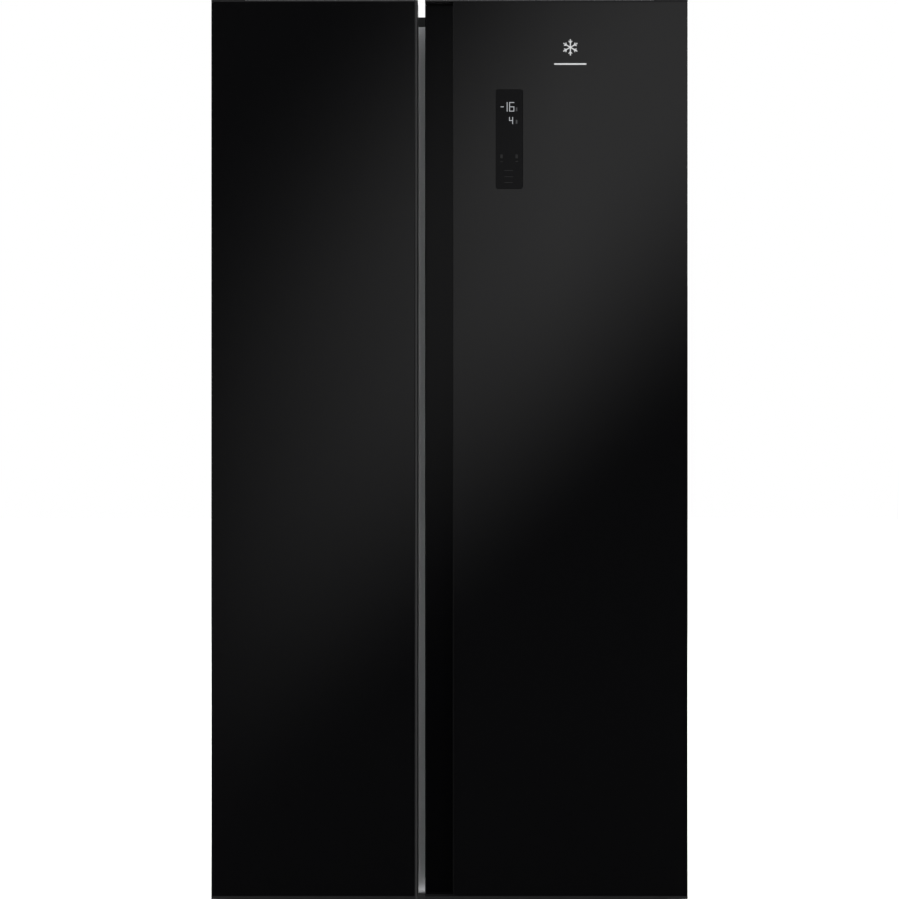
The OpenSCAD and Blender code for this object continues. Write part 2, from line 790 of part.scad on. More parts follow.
// Two wheels on one axle under the back of the cabinet
module rear_rollers() {
    color([0.15, 0.15, 0.15]) {
        rod_x(-cab_x + 1, cab_x - 1, roller_y, wheel_r, axle_r);
        both_sides() rod_x(wheel_x0, wheel_x0 + wheel_w, roller_y, wheel_r, wheel_r);
    }
}

// The freezer's back wall, with air slots, the fan's guide ring and its motor
module freezer_duct_cover() {
    x0 = freezer_x0 + 2;
    x1 = freezer_x1 - 2;
    z0 = step_z + 4;
    z1 = room_z1 - 30;
    slot_w = 32;
    slot_h = 7;
    slot_pitch = 44;
    intake_w = 26;
    intake_h = 6;
    intake_pitch = 36;
    color([0.9, 0.91, 0.92]) {
        difference() {
            block([x0, duct_y, z0], [x1, duct_y + duct_t, z1]);
            translate([ice_x, duct_y - eps, freezer_fan_z]) for (ring = [0 : 3], side = [0 : 7])
                rotate([0, side * 45 + 8, 0]) translate([14 + ring * 9, 0, -2.5 - ring])
                    cube([4, duct_t + 2 * eps, 5 + 2 * ring]);
            for (z = [for (s = freezer_shelf_z) s + 60], i = [-2 : 2])
                block([ice_x + i * slot_pitch - slot_w / 2, duct_y - eps, z],
                      [ice_x + i * slot_pitch + slot_w / 2, duct_y + duct_t + eps, z + slot_h]);
            for (i = [-3 : 3])
                block([ice_x + i * intake_pitch - intake_w / 2, duct_y - eps, z0 + 12],
                      [ice_x + i * intake_pitch + intake_w / 2, duct_y + duct_t + eps, z0 + 12 + intake_h]);
        }
        translate([ice_x, room_y1 - 2, freezer_fan_z]) rotate([90, 0, 0])
            fan_mount(freezer_fan_r, room_y1 - 2 - duct_y - duct_t + eps);
    }
}

module evaporator() {
    color([0.78, 0.79, 0.8])
        finned_coil([freezer_x0 + 30, duct_y + 10, step_z + 60], [freezer_x1 - 30, room_y1 - 6, step_z + 270],
                    22, 1, 8, 4);
}

module evaporator_fan() {
    color([0.85, 0.86, 0.87]) translate([ice_x, duct_y + 8 + fan_t, freezer_fan_z]) rotate([90, 0, 0])
        fan(freezer_fan_r, 5);
}

// The fridge's hollow air channel up the middle of the back
module fridge_duct_cover() {
    x = (fridge_x0 + fridge_x1) / 2;
    y0 = room_y1 - fridge_duct_d;
    z0 = step_z + 4;
    z1 = room_z1 - 60;
    half = 85;
    slot_x = 45;
    slot_half = 25;
    slot_h = 5;
    slot_pitch = 12;
    color([0.9, 0.91, 0.92]) difference() {
        block([x - half, y0, z0], [x + half, room_y1, z1]);
        block([x - half + duct_t, y0 + duct_t, z0 + duct_t], [x + half - duct_t, room_y1 + eps, z1 - duct_t]);
        for (z = [for (s = fridge_shelf_z) s + 70], side = [-1, 1], row = [0 : 2])
            block([x + side * slot_x - slot_half, y0 - eps, z + row * slot_pitch],
                  [x + side * slot_x + slot_half, y0 + duct_t + eps, z + row * slot_pitch + slot_h]);
    }
}

module lamp_lenses() {
    fridge_mid = (fridge_x0 + fridge_x1) / 2;
    color([0.98, 0.98, 0.95]) for (lamp = [[ice_x, 60], [fridge_mid, 90]])
        block([lamp[0] - lamp[1], shelf_y0 + 60, room_z1 - 7], [lamp[0] + lamp[1], shelf_y0 + 100, room_z1]);
}

module shelf_glass() {
    color([0.75, 0.85, 0.84]) {
        for (z = freezer_shelf_z)
            block([freezer_x0 + side_gap, shelf_y0 + trim_wall, z],
                  [freezer_x1 - side_gap, freezer_shelf_y1 - trim_wall, z + shelf_t]);
        for (z = fridge_shelf_z)
            block([fridge_x0 + side_gap, shelf_y0 + trim_wall, z],
                  [fridge_x1 - side_gap, fridge_shelf_y1 - trim_wall, z + shelf_t]);
    }
}

// A grooved strip on the front or back edge of a shelf
module shelf_strip(x0, x1, y0, y1, z) {
    difference() {
        block([x0, y0, z + shelf_t / 2 - trim_h / 2], [x1, y1, z + shelf_t / 2 + trim_h / 2]);
        children();
    }
}

module shelf_edges(x0, x1, y1, heights) {
    for (z = heights) {
        in = ledge_w + 1;
        shelf_strip(x0 + in, x1 - in, shelf_y0, shelf_y0 + trim_d, z)
            block([x0, shelf_y0 + trim_wall, z], [x1, shelf_y0 + trim_d + eps, z + shelf_t]);
        shelf_strip(x0 + in, x1 - in, y1 - trim_d, y1, z)
            block([x0, y1 - trim_d - eps, z], [x1, y1 - trim_wall, z + shelf_t]);
    }
}

module shelf_trims() {
    color([0.85, 0.86, 0.87]) {
        shelf_edges(freezer_x0, freezer_x1, freezer_shelf_y1, freezer_shelf_z);
        shelf_edges(fridge_x0, fridge_x1, fridge_shelf_y1, fridge_shelf_z);
    }
}

// A top plate under the shelf, with a bearing plate at each end of the tray
module ice_maker_frame() {
    x0 = ice_x - tray_turn_r - 4;
    x1 = ice_x + tray_turn_r + 4;
    y1 = ice_y0 + tray_l + 2 * ice_plate_t + 8;
    z0 = ice_axis_z - 14;
    z1 = ice_top_z;
    color([0.88, 0.89, 0.9]) difference() {
        union() {
            block([x0, ice_y0, z1 - 3], [x1, y1, z1]);
            for (y = [ice_y0, y1 - ice_plate_t]) block([x0, y, z0], [x1, y + ice_plate_t, z1 - 3 + eps]);
        }
        rod_y(ice_x, ice_y0 - eps, ice_y0 + ice_plate_t + eps, ice_axis_z, trunnion_r + fit);
        rod_y(ice_x, y1 - ice_plate_t - eps, y1 + eps, ice_axis_z, trunnion_r + fit);
    }
}

// Two rows of cube moulds between trunnions, with a knob in front
module ice_tray() {
    tray_y1 = tray_y0 + tray_l;
    z0 = ice_axis_z - tray_below;
    z1 = z0 + tray_h;
    mould_w = tray_w / 2 - 2 * tray_wall;
    color([0.8, 0.88, 0.92]) {
        difference() {
            block([ice_x - tray_w / 2, tray_y0, z0], [ice_x + tray_w / 2, tray_y1, z1]);
            for (i = [0 : tray_cells - 1], side = [-1, 1]) {
                mid_x = ice_x + side * tray_w / 4;
                y = tray_y0 + tray_rim + i * tray_pitch;
                along_x(mid_x - mould_w / 2, mid_x + mould_w / 2, [
                    [y + tray_taper, z0 + tray_wall], [y + tray_pitch - tray_taper, z0 + tray_wall],
                    [y + tray_pitch - tray_wall / 2, z1 + eps], [y + tray_wall / 2, z1 + eps]
                ]);
            }
        }
        rod_y(ice_x, ice_y0 - 6, tray_y0 + eps, ice_axis_z, trunnion_r);
        rod_y(ice_x, tray_y1 - eps, tray_y1 + ice_plate_t + 6, ice_axis_z, trunnion_r);
        rod_y(ice_x, ice_y0 - 14, ice_y0 - 2, ice_axis_z, 15);
        block([ice_x - 22, ice_y0 - 20, ice_axis_z - 4], [ice_x + 22, ice_y0 - 8, ice_axis_z + 4]);
    }
}

module ice_bin() {
    x0 = freezer_x0 + ledge_w + 3;
    x1 = freezer_x1 - ledge_w - 3;
    z0 = ice_shelf + shelf_t / 2 + trim_h / 2;
    y1 = ice_y0 + tray_l + 30;
    h = 130;
    grip_in = 60;
    color(clear_blue) difference() {
        union() {
            block([x0, drawer_y0, z0], [x1, y1, z0 + h]);
            block([x0 + grip_in, drawer_y0 - pull_d, z0 + h - pull_h],
                  [x1 - grip_in, drawer_y0 + eps, z0 + h]);
        }
        block([x0 + bin_wall, drawer_y0 + bin_wall, z0 + bin_wall],
              [x1 - bin_wall, y1 - bin_wall, z0 + h + eps]);
        pull_hollow(x0 + grip_in, x1 - grip_in, z0 + h);
    }
}

module freezer_drawer_upper() {
    color(clear_blue) drawer(freezer_x0, freezer_x1, freezer_shelf_y1 - 6, drawer_high_z);
}

module freezer_drawer_lower() {
    color(clear_blue) drawer(freezer_x0, freezer_x1, step_y - 8, drawer_low_z);
}

module crisper_upper() {
    color(clear_blue) drawer(fridge_x0, fridge_x1, fridge_shelf_y1 - 6, drawer_high_z);
}

module crisper_lower() {
    color(clear_blue) drawer(fridge_x0, fridge_x1, step_y - 8, drawer_low_z);
}

// A domed steel can with a seam, on a foot plate
module compressor() {
    dome_r = comp_r * 1.2;
    dome_z = comp_z0 + comp_h - sqrt(dome_r * dome_r - comp_r * comp_r);
    color(trim_black) translate([comp_x, bay_y_mid, 0]) {
        translate([0, 0, comp_z0]) cylinder(h = comp_h, r = comp_r);
        intersection() {
            translate([0, 0, dome_z]) sphere(dome_r);
            translate([0, 0, comp_z0 + comp_h - eps]) cylinder(h = comp_r, r = comp_r);
        }
        translate([0, 0, comp_z0 + comp_h * 0.6]) cylinder(h = 4, r = comp_r + 3);
        difference() {
            block([-mount_dx - 14, -mount_dy - 12, deck_z + mount_h],
                  [mount_dx + 14, mount_dy + 12, deck_z + mount_h + 3]);
            for (x = [-mount_dx, mount_dx], y = [-mount_dy, mount_dy])
                translate([x, y, deck_z + mount_h - eps]) cylinder(h = 4, r = 6);
        }
        translate([0, 0, deck_z + mount_h]) cylinder(h = comp_z0 - deck_z - mount_h + eps, r = comp_r - 12);
        block([comp_r - 12, -24, comp_z0 + 12], [comp_r + 22, 24, comp_z0 + 66]);
        rod_y(discharge_dx, comp_r - 10, comp_r + port_l, discharge_z, discharge_r + 2);
        rod_y(suction_dx, -comp_r - port_l, -comp_r + 20, suction_z, suction_r + 2);
    }
}

module compressor_mounts() {
    color([0.06, 0.06, 0.06]) for (x = [-mount_dx, mount_dx], y = [-mount_dy, mount_dy])
        translate([comp_x + x, bay_y_mid + y, deck_z]) difference() {
            union() {
                cylinder(h = mount_h, r = 11);
                cylinder(h = mount_h + 5, r = 5.9);
                translate([0, 0, mount_h + 3]) cylinder(h = 3, r = 9);
            }
            translate([0, 0, -eps]) cylinder(h = mount_h + 7, r = 3);
        }
}

module condenser() {
    color([0.15, 0.15, 0.16])
        finned_coil([cond_x0, bay_y_mid - 66, cond_z0], [cond_x0 + cond_l, bay_y_mid + 66, cond_z0 + cond_h],
                    20, 3, 6, 4);
}

// A plate across the bay with the fan's opening, its ring and its motor
module fan_shroud() {
    color([0.1, 0.1, 0.1]) {
        difference() {
            block([shroud_x, bay_y0 + 6, deck_z], [shroud_x + 3, back_sheet_y - 8, bay_top - 6]);
            rod_x(shroud_x - eps, shroud_x + 3 + eps, bay_y_mid, bay_fan_z, bay_fan_r + shroud_gap);
        }
        translate([shroud_x, bay_y_mid, bay_fan_z]) rotate([0, 90, 0]) fan_mount(bay_fan_r, 34);
    }
}

module condenser_fan() {
    color([0.8, 0.8, 0.8]) translate([shroud_x + 15, bay_y_mid, bay_fan_z]) rotate([0, 90, 0])
        fan(bay_fan_r, 5);
}

// The tray under the condenser that catches the defrost water
module drain_pan() {
    x0 = cond_x0 - 4;
    x1 = cond_x0 + cond_l + 16;
    y0 = bay_y_mid - 76;
    y1 = bay_y_mid + 76;
    h = 24;
    wall = 2;
    color([0.07, 0.07, 0.07]) difference() {
        block([x0, y0, deck_z], [x1, y1, deck_z + h]);
        block([x0 + wall, y0 + wall, deck_z + wall], [x1 - wall, y1 - wall, deck_z + h + eps]);
    }
}

// Discharge line to the condenser, drier and capillary, and the suction line
module refrigerant_pipes() {
    out_x = comp_x + discharge_dx;
    out_y = bay_y_mid + comp_r + port_l;
    in_x = comp_x + suction_dx;
    cond_low = cond_z0 + cond_h / 12;
    end_x = cond_x0 + cond_l + 6;
    drier_x = end_x + 26;
    color([0.75, 0.45, 0.28]) {
        pipe([[out_x, out_y, discharge_z], [out_x, out_y + 6, discharge_z],
              [out_x, out_y + 6, bay_top - 22], [shroud_x - 12, out_y + 6, bay_top - 22]], discharge_r);
        pipe([[end_x - eps, bay_y_mid, cond_low], [drier_x, bay_y_mid, cond_low],
              [drier_x, bay_y_mid, cond_low + 30]], 3);
        translate([drier_x, bay_y_mid, cond_low + 30]) cylinder(h = 70, r = 9);
        pipe([[drier_x, bay_y_mid, cond_low + 100], [drier_x, bay_y_mid, bay_top - 24],
              [drier_x, bay_y0 + 14, bay_top - 24]], 1.5);
        pipe([[in_x, bay_y_mid - comp_r - port_l, suction_z], [in_x, bay_y0 + 14, suction_z],
              [in_x, bay_y0 + 14, bay_top - 14], [shroud_x - 20, bay_y0 + 14, bay_top - 14]], suction_r);
    }
}

// The electronics box, with its board and a row of vents
module control_box() {
    x0 = box_x1 - box_l;
    y0 = bay_y_mid - 60;
    y1 = bay_y_mid + 60;
    z0 = deck_z + 20;
    z1 = z0 + 110;
    wall = 2;
    vent_w = 6;
    vent_edge = 30;
    board_y = y0 + 30;
    color([0.2, 0.2, 0.2]) {
        difference() {
            block([x0, y0, z0], [box_x1, y1, z1]);
            block([x0 + wall, y0 + wall, z0 + wall], [box_x1 - wall, y1 - wall, z1 - wall]);
            for (i = [0 : 7])
                block([x0 + 16 + i * 2 * vent_w, y1 - 3, z0 + vent_edge],
                      [x0 + 16 + (2 * i + 1) * vent_w, y1 + eps, z1 - vent_edge]);
        }
        block([x0 + wall - eps, board_y, z0 + wall - eps],
              [box_x1 - wall + eps, board_y + 2, z1 - wall + eps]);
        for (x = [x0 + 10, box_x1 - 26])
            block([x, bay_y_mid - 10, deck_z], [x + 16, bay_y_mid + 10, z0 + eps]);
    }
}

// The appliance inlet in the rear cover, with three flat pins and an earthed shroud
module power_inlet() {
    y0 = cab_y1 - 26;
    color([0.05, 0.05, 0.05]) {
        difference() {
            union() {
                inlet_body(y0, inlet_y1, 0, 0);
                inlet_body(cab_y1, inlet_y1, 10, 3);
            }
            inlet_body(inlet_y1 - socket_d, inlet_y1 + eps, -3, -4);
        }
        for (pin = [[-7, -3], [0, 3], [7, -3]])
            block([inlet_x + pin.x - 1, inlet_y1 - socket_d - eps, inlet_z + pin.y - 2],
                  [inlet_x + pin.x + 1, inlet_y1 - 3, inlet_z + pin.y + 2]);
    }
}

// The outline of the inlet's body between two depths, grown by so much on each side
module inlet_body(y0, y1, grow_x, grow_z) {
    block([inlet_x - inlet_w / 2 - grow_x, y0, inlet_z - inlet_h / 2 - grow_z],
          [inlet_x + inlet_w / 2 + grow_x, y1, inlet_z + inlet_h / 2 + grow_z]);
}

// The vented cover over the bay, with two spacers that keep the wall's distance
module rear_cover() {
    x = cab_x - 13;
    y0 = back_sheet_y + sheet_t - 2;
    y1 = cab_y1;
    pitch = 16;
    slot_w = 6;
    slot_h = 52;
    columns = floor((2 * x - 240) / pitch);
    color([0.25, 0.25, 0.26]) difference() {
        union() {
            block([-x, y0, deck_z], [x, y1, bay_top - sheet_t - 1]);
            both_sides() block([x - 60, y0, bay_top - 70], [x - 30, rear_y, bay_top - 20]);
        }
        for (i = [0 : columns - 1], z = [deck_z + 20, deck_z + 84])
            block([(i - columns / 2) * pitch + (pitch - slot_w) / 2, y0 - eps, z],
                  [(i - columns / 2) * pitch + (pitch + slot_w) / 2, y1 + eps, z + slot_h]);
        inlet_body(y0 - eps, y1 + eps, 0, 0);
    }
}

module freezer_door_glass() {
    color(glass_black)
        block([freezer_door_x0, front_y, glass_z0], [freezer_door_x1 - edge_r, glass_y, glass_z1]);
}

// Plan of the freezer door's free side: a rounded lip, then a finger pocket behind it
module freezer_grip_plan() {
    x = freezer_door_x1;
    lip_y = front_y + grip_depth;
    pocket_y = lip_y + pocket_d;
    polygon([
        [x - edge_r, front_y], [x - edge_r, front_y + edge_r], [x, front_y + edge_r], [x, lip_y],
        [x - pocket_w, lip_y], [x - pocket_w, pocket_y], [x, pocket_y], [x, door_y],
        [x - skin_t, door_y], [x - skin_t, pocket_y + skin_t], [x - pocket_w - skin_t, pocket_y + skin_t],
        [x - pocket_w - skin_t, lip_y - skin_t], [x - edge_r, lip_y - skin_t]
    ]);
    translate([x - edge_r, front_y + edge_r]) circle(edge_r);
}

module freezer_door_plan() {
    x = freezer_door_x1;
    translate([freezer_door_x0, front_y]) square([freezer_door_w - edge_r, door_t]);
    translate([x - edge_r - eps, front_y + edge_r]) square([edge_r + eps, door_t - edge_r]);
    translate([x - edge_r, front_y + edge_r]) circle(edge_r);
}

module freezer_door_frame() {
    color(trim_black) difference() {
        union() {
            block([freezer_door_x0, glass_y, glass_z0 - eps],
                  [freezer_door_x0 + skin_t, door_y, glass_z1 + eps]);
            upright(glass_z0 - eps, glass_z1 + eps) difference() {
                freezer_grip_plan();
                translate([freezer_door_x1 - 3 * edge_r, front_y - edge_r]) square([2 * edge_r, 3 * edge_r]);
            }
            upright(door_bottom, glass_z0) freezer_door_plan();
            upright(glass_z1, door_top) freezer_door_plan();
            hinge_bosses(-pin_x, 0);
        }
        hinge_bores(-pin_x);
    }
}

module freezer_door_foam() {
    x1 = freezer_door_x1;
    lip_y = front_y + grip_depth - skin_t;
    pocket_y = lip_y + pocket_d + 2 * skin_t;
    y1 = door_y - liner_t;
    color(foam_cream) {
        difference() {
            upright(glass_z0, glass_z1) polygon([
                [freezer_door_x0 + skin_t, glass_y], [x1 - edge_r, glass_y], [x1 - edge_r, lip_y],
                [x1 - pocket_w - skin_t, lip_y], [x1 - pocket_w - skin_t, pocket_y], [x1 - skin_t, pocket_y],
                [x1 - skin_t, y1], [freezer_door_x0 + skin_t, y1]
            ]);
            hinge_bosses(-pin_x, eps);
        }
        dyke_core(freezer_dyke_x0, freezer_dyke_x1, y1 + slab_joint, slab_joint);
    }
}

module freezer_door_liner() {
    color(liner_white) door_liner(freezer_door_x0, freezer_door_x1, freezer_dyke_x0, freezer_dyke_x1,
                                         freezer_bin_x0, freezer_bin_x1);
}

module freezer_gasket() {
    color([0.5, 0.5, 0.5]) gasket(-gasket_hinge_x, freezer_door_x1 - gasket_free_inset);
}

module freezer_bin_top() {
    color(clear_blue) door_bin(freezer_bin_x0, freezer_bin_x1, bin_high_z);
}

module freezer_bin_middle() {
    color(clear_blue) door_bin(freezer_bin_x0, freezer_bin_x1, bin_mid_z);
}

module freezer_bin_bottom() {
    color(clear_blue) door_bin(freezer_bin_x0, freezer_bin_x1, bin_low_z);
}

// The window in the glass that the touch panel fills
module panel_window(y0, y1) {
    along_y(y0, y1) translate([panel_x, panel_z]) rounded_rect(panel_w, panel_h, panel_r);
}

// The touch panel's electronics behind the glass, starting at a depth
module panel_box(y0) {
    edge = 2;
    block([panel_x - edge, y0, panel_z - edge],
          [panel_x + panel_w + edge, glass_y + panel_box_d, panel_z + panel_h + edge]);
}

module fridge_door_glass() {
    color(glass_black) difference() {
        block([grip_x, front_y, glass_z0], [fridge_door_x1, glass_y, glass_z1]);
        panel_window(front_y - eps, glass_y + eps);
    }
}

module fridge_door_frame() {
    color(trim_black) difference() {
        union() {
            block([fridge_door_x1 - skin_t, glass_y, glass_z0 - eps],
                  [fridge_door_x1, door_y, glass_z1 + eps]);
            block([fridge_door_x0, front_y, door_bottom], [fridge_door_x1, door_y, glass_z0]);
            block([fridge_door_x0, front_y, glass_z1], [fridge_door_x1, door_y, door_top]);
            hinge_bosses(pin_x, 0);
        }
        hinge_bores(pin_x);
    }
}

// Plan of the grip channel: a face, a pocket behind the glass edge and a side wall
module grip_channel() {
    x0 = fridge_door_x0;
    x1 = grip_x + pocket_w;
    color([0.08, 0.08, 0.085]) upright(glass_z0, glass_z1) {
        polygon([
            [x0 + grip_r, grip_y], [x1, grip_y], [x1, glass_y + skin_t], [grip_x, glass_y + skin_t],
            [grip_x, glass_y], [x1 + skin_t, glass_y], [x1 + skin_t, grip_back_y],
            [x0 + skin_t, grip_back_y], [x0 + skin_t, door_y], [x0, door_y], [x0, grip_y + grip_r],
            [x0 + grip_r, grip_y + grip_r]
        ]);
        translate([x0 + grip_r, grip_y + grip_r]) circle(grip_r);
    }
}

module fridge_door_foam() {
    x0 = fridge_door_x0 + skin_t;
    x1 = fridge_door_x1 - skin_t;
    wall_x = grip_x + pocket_w + skin_t;
    y1 = door_y - liner_t;
    color(foam_cream) {
        difference() {
            upright(glass_z0, glass_z1) polygon([
                [x0, grip_back_y], [wall_x, grip_back_y], [wall_x, glass_y],
                [x1, glass_y], [x1, y1], [x0, y1]
            ]);
            hinge_bosses(pin_x, eps);
            panel_box(glass_y - eps);
        }
        dyke_core(fridge_dyke_x0, fridge_dyke_x1, y1 + slab_joint, slab_joint);
    }
}

module fridge_door_liner() {
    color(liner_white) door_liner(fridge_door_x0, fridge_door_x1, fridge_dyke_x0, fridge_dyke_x1,
                                         fridge_bin_x0, fridge_bin_x1);
}

module fridge_gasket() {
    color([0.5, 0.5, 0.5]) gasket(fridge_door_x0 + gasket_free_inset, gasket_hinge_x);
}

// The touch panel: a face flush with the glass and the electronics behind it
module control_panel() {
    color([0.02, 0.02, 0.02]) {
        panel_window(front_y, glass_y + eps);
        panel_box(glass_y);
    }
}

// A plain six-armed frost star over a blank bar
module emblem() {
    arm = emblem_d / 2;
    y0 = front_y - emblem_t;
    color([0.75, 0.76, 0.77]) {
        along_y(y0, front_y) translate([emblem_x, emblem_z]) {
            for (a = [0 : 60 : 300]) rotate(a) {
                translate([-1, 0]) square([2, arm]);
                for (side = [-1, 1]) translate([0, arm * 0.55]) rotate(side * 45)
                    translate([-0.8, 0]) square([1.6, arm * 0.32]);
            }
            circle(2.6);
        }
        along_y(y0, front_y) translate([emblem_x - emblem_bar / 2, emblem_z - emblem_d / 2 - 18])
            rounded_rect(emblem_bar, 3, 1.4);
    }
}

module fridge_bin_top() {
    color(clear_blue) {
        door_bin(fridge_bin_x0, fridge_bin_x1, bin_high_z);
        for (x = [fridge_bin_x0, fridge_bin_x1 - ear_w]) difference() {
            block([x, bin_y0, bin_high_z + bin_h - 6], [x + ear_w, bin_y0 + 14, lid_z + 6]);
            rod_x(x - eps, x + ear_w + eps, lid_y, lid_z, lid_pin_r + fit);
        }
    }
}

module fridge_bin_middle() {
    color(clear_blue) door_bin(fridge_bin_x0, fridge_bin_x1, bin_mid_z);
}

module fridge_bin_bottom() {
    color(clear_blue) door_bin(fridge_bin_x0, fridge_bin_x1, bin_low_z);
}

module dairy_lid() {
    x0 = fridge_bin_x0 + ear_w + 1;
    x1 = fridge_bin_x1 - ear_w - 1;
    t = 3;
    barrel_r = 1.5 * t;
    color([0.9, 0.94, 0.96]) {
        rod_x(fridge_bin_x0 + 1, fridge_bin_x1 - 1, lid_y, lid_z, lid_pin_r);
        rod_x(x0, x1, lid_y, lid_z, barrel_r);
        block([x0, lid_y, lid_z], [x1, bin_y1, lid_z + t]);
        block([x0, bin_y1 - t, lid_z - 5], [x1, bin_y1, lid_z + t]);
    }
}

side_panel_left();
side_panel_right();
top_panel();
back_panel();
base_plate();
cabinet_foam();
freezer_liner();
fridge_liner();
divider_cover();
kick_plate();
top_hinges();
hinge_covers();
bottom_hinges();
foot_left();
foot_right();
rear_rollers();
freezer_duct_cover();
evaporator();
evaporator_fan();
fridge_duct_cover();
lamp_lenses();
shelf_glass();
shelf_trims();
ice_maker_frame();
ice_tray();
ice_bin();
freezer_drawer_upper();
freezer_drawer_lower();
crisper_upper();
crisper_lower();
compressor();
compressor_mounts();
condenser();
fan_shroud();
condenser_fan();
drain_pan();
refrigerant_pipes();
control_box();
power_inlet();
rear_cover();
freezer_door_glass();
freezer_door_frame();
freezer_door_foam();
freezer_door_liner();
freezer_gasket();
freezer_bin_top();
freezer_bin_middle();
freezer_bin_bottom();
fridge_door_glass();
fridge_door_frame();
fridge_door_foam();
fridge_door_liner();
fridge_gasket();
grip_channel();
control_panel();
emblem();
fridge_bin_top();
fridge_bin_middle();
fridge_bin_bottom();
dairy_lid();
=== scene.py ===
"""Looks of a side by side refrigerator with black glass doors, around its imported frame.

Lengths are in metres. X runs to the right, Y to the back and Z up.
"""

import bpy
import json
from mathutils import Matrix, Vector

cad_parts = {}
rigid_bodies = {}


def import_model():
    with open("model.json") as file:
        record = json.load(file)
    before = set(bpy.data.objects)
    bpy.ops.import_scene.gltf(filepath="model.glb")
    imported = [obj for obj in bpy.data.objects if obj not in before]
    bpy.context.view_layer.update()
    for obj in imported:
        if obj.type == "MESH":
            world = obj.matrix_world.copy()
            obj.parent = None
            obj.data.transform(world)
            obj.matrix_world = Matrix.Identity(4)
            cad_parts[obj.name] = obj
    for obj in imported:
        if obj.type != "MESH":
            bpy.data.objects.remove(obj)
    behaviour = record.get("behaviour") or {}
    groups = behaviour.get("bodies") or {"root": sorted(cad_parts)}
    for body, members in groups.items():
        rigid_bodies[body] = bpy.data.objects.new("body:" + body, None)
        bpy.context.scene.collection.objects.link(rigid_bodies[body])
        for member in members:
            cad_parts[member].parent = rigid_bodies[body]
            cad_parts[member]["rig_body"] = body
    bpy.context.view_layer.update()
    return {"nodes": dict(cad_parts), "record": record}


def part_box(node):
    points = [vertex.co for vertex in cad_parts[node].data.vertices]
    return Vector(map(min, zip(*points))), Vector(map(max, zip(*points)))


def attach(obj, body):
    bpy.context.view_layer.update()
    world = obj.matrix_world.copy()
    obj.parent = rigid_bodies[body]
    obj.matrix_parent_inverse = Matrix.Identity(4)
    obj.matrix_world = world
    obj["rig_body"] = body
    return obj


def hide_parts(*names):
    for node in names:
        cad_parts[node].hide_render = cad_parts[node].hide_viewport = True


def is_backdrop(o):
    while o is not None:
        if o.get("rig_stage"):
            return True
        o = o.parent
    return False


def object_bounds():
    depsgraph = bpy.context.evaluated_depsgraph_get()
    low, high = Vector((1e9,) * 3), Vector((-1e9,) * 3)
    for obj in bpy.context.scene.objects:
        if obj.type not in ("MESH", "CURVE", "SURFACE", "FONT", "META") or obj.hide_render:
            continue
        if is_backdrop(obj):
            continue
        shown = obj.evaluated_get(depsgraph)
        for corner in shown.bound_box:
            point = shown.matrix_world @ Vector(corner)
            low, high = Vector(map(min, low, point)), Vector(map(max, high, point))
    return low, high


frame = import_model()

import json
import math

import bmesh
import bpy
from mathutils import Matrix, Vector

MM = 0.001
NODES = frame["nodes"]
SLOT_OF = {part["node"]: part["material_slot"] for part in frame["record"]["subparts"]}
BODY_OF = {name: node["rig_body"] for name, node in NODES.items()}


# ---------------------------------------------------------------- shader maths


class Field:
    """A number that varies from place to place. Arithmetic on it adds Math nodes."""

    def __init__(self, shading, socket):
        self.shading = shading
        self.socket = socket

    def math(self, operation, *values):
        return self.shading.node("ShaderNodeMath", {"operation": operation}, values)

    def __add__(self, other):
        return self.math("ADD", self, other)

    def __sub__(self, other):
        return self.math("SUBTRACT", self, other)

    def __rsub__(self, other):
        return self.math("SUBTRACT", other, self)

    def __mul__(self, other):
        return self.math("MULTIPLY", self, other)

    def __pow__(self, other):
        return self.math("POWER", self, other)

    __radd__ = __add__
    __rmul__ = __mul__

    def rise(self, low, high):
        """Goes smoothly from 0 at low to 1 at high."""
        return self.shading.node("ShaderNodeMapRange", {"interpolation_type": "SMOOTHSTEP"},
                                 {"Value": self, "From Min": low, "From Max": high})


class Shading:
    """A node tree of a material or of the world, emptied and ready for new nodes."""

    def __init__(self, owner):
        owner.use_nodes = True
        self.tree = owner.node_tree
        self.tree.nodes.clear()

    def plug(self, socket, value):
        if isinstance(value, Field):
            self.tree.links.new(value.socket, socket)
        else:
            socket.default_value = value

    def node(self, kind, settings=None, inputs=(), output=0):
        """Adds a node, sets it up, plugs its inputs, and returns one output."""
        node = self.tree.nodes.new(kind)
        for key, value in (settings or {}).items():
            setattr(node, key, value)
        pairs = inputs.items() if isinstance(inputs, dict) else enumerate(inputs)
        for key, value in pairs:
            self.plug(node.inputs[key], value)
        return Field(self, node.outputs[output]) if node.outputs else None

    def axes(self, coordinates):
        """The X, Y and Z of a coordinate, as three numbers."""
        split = self.node("ShaderNodeSeparateXYZ", {}, [coordinates])
        return [Field(self, output) for output in split.socket.node.outputs]


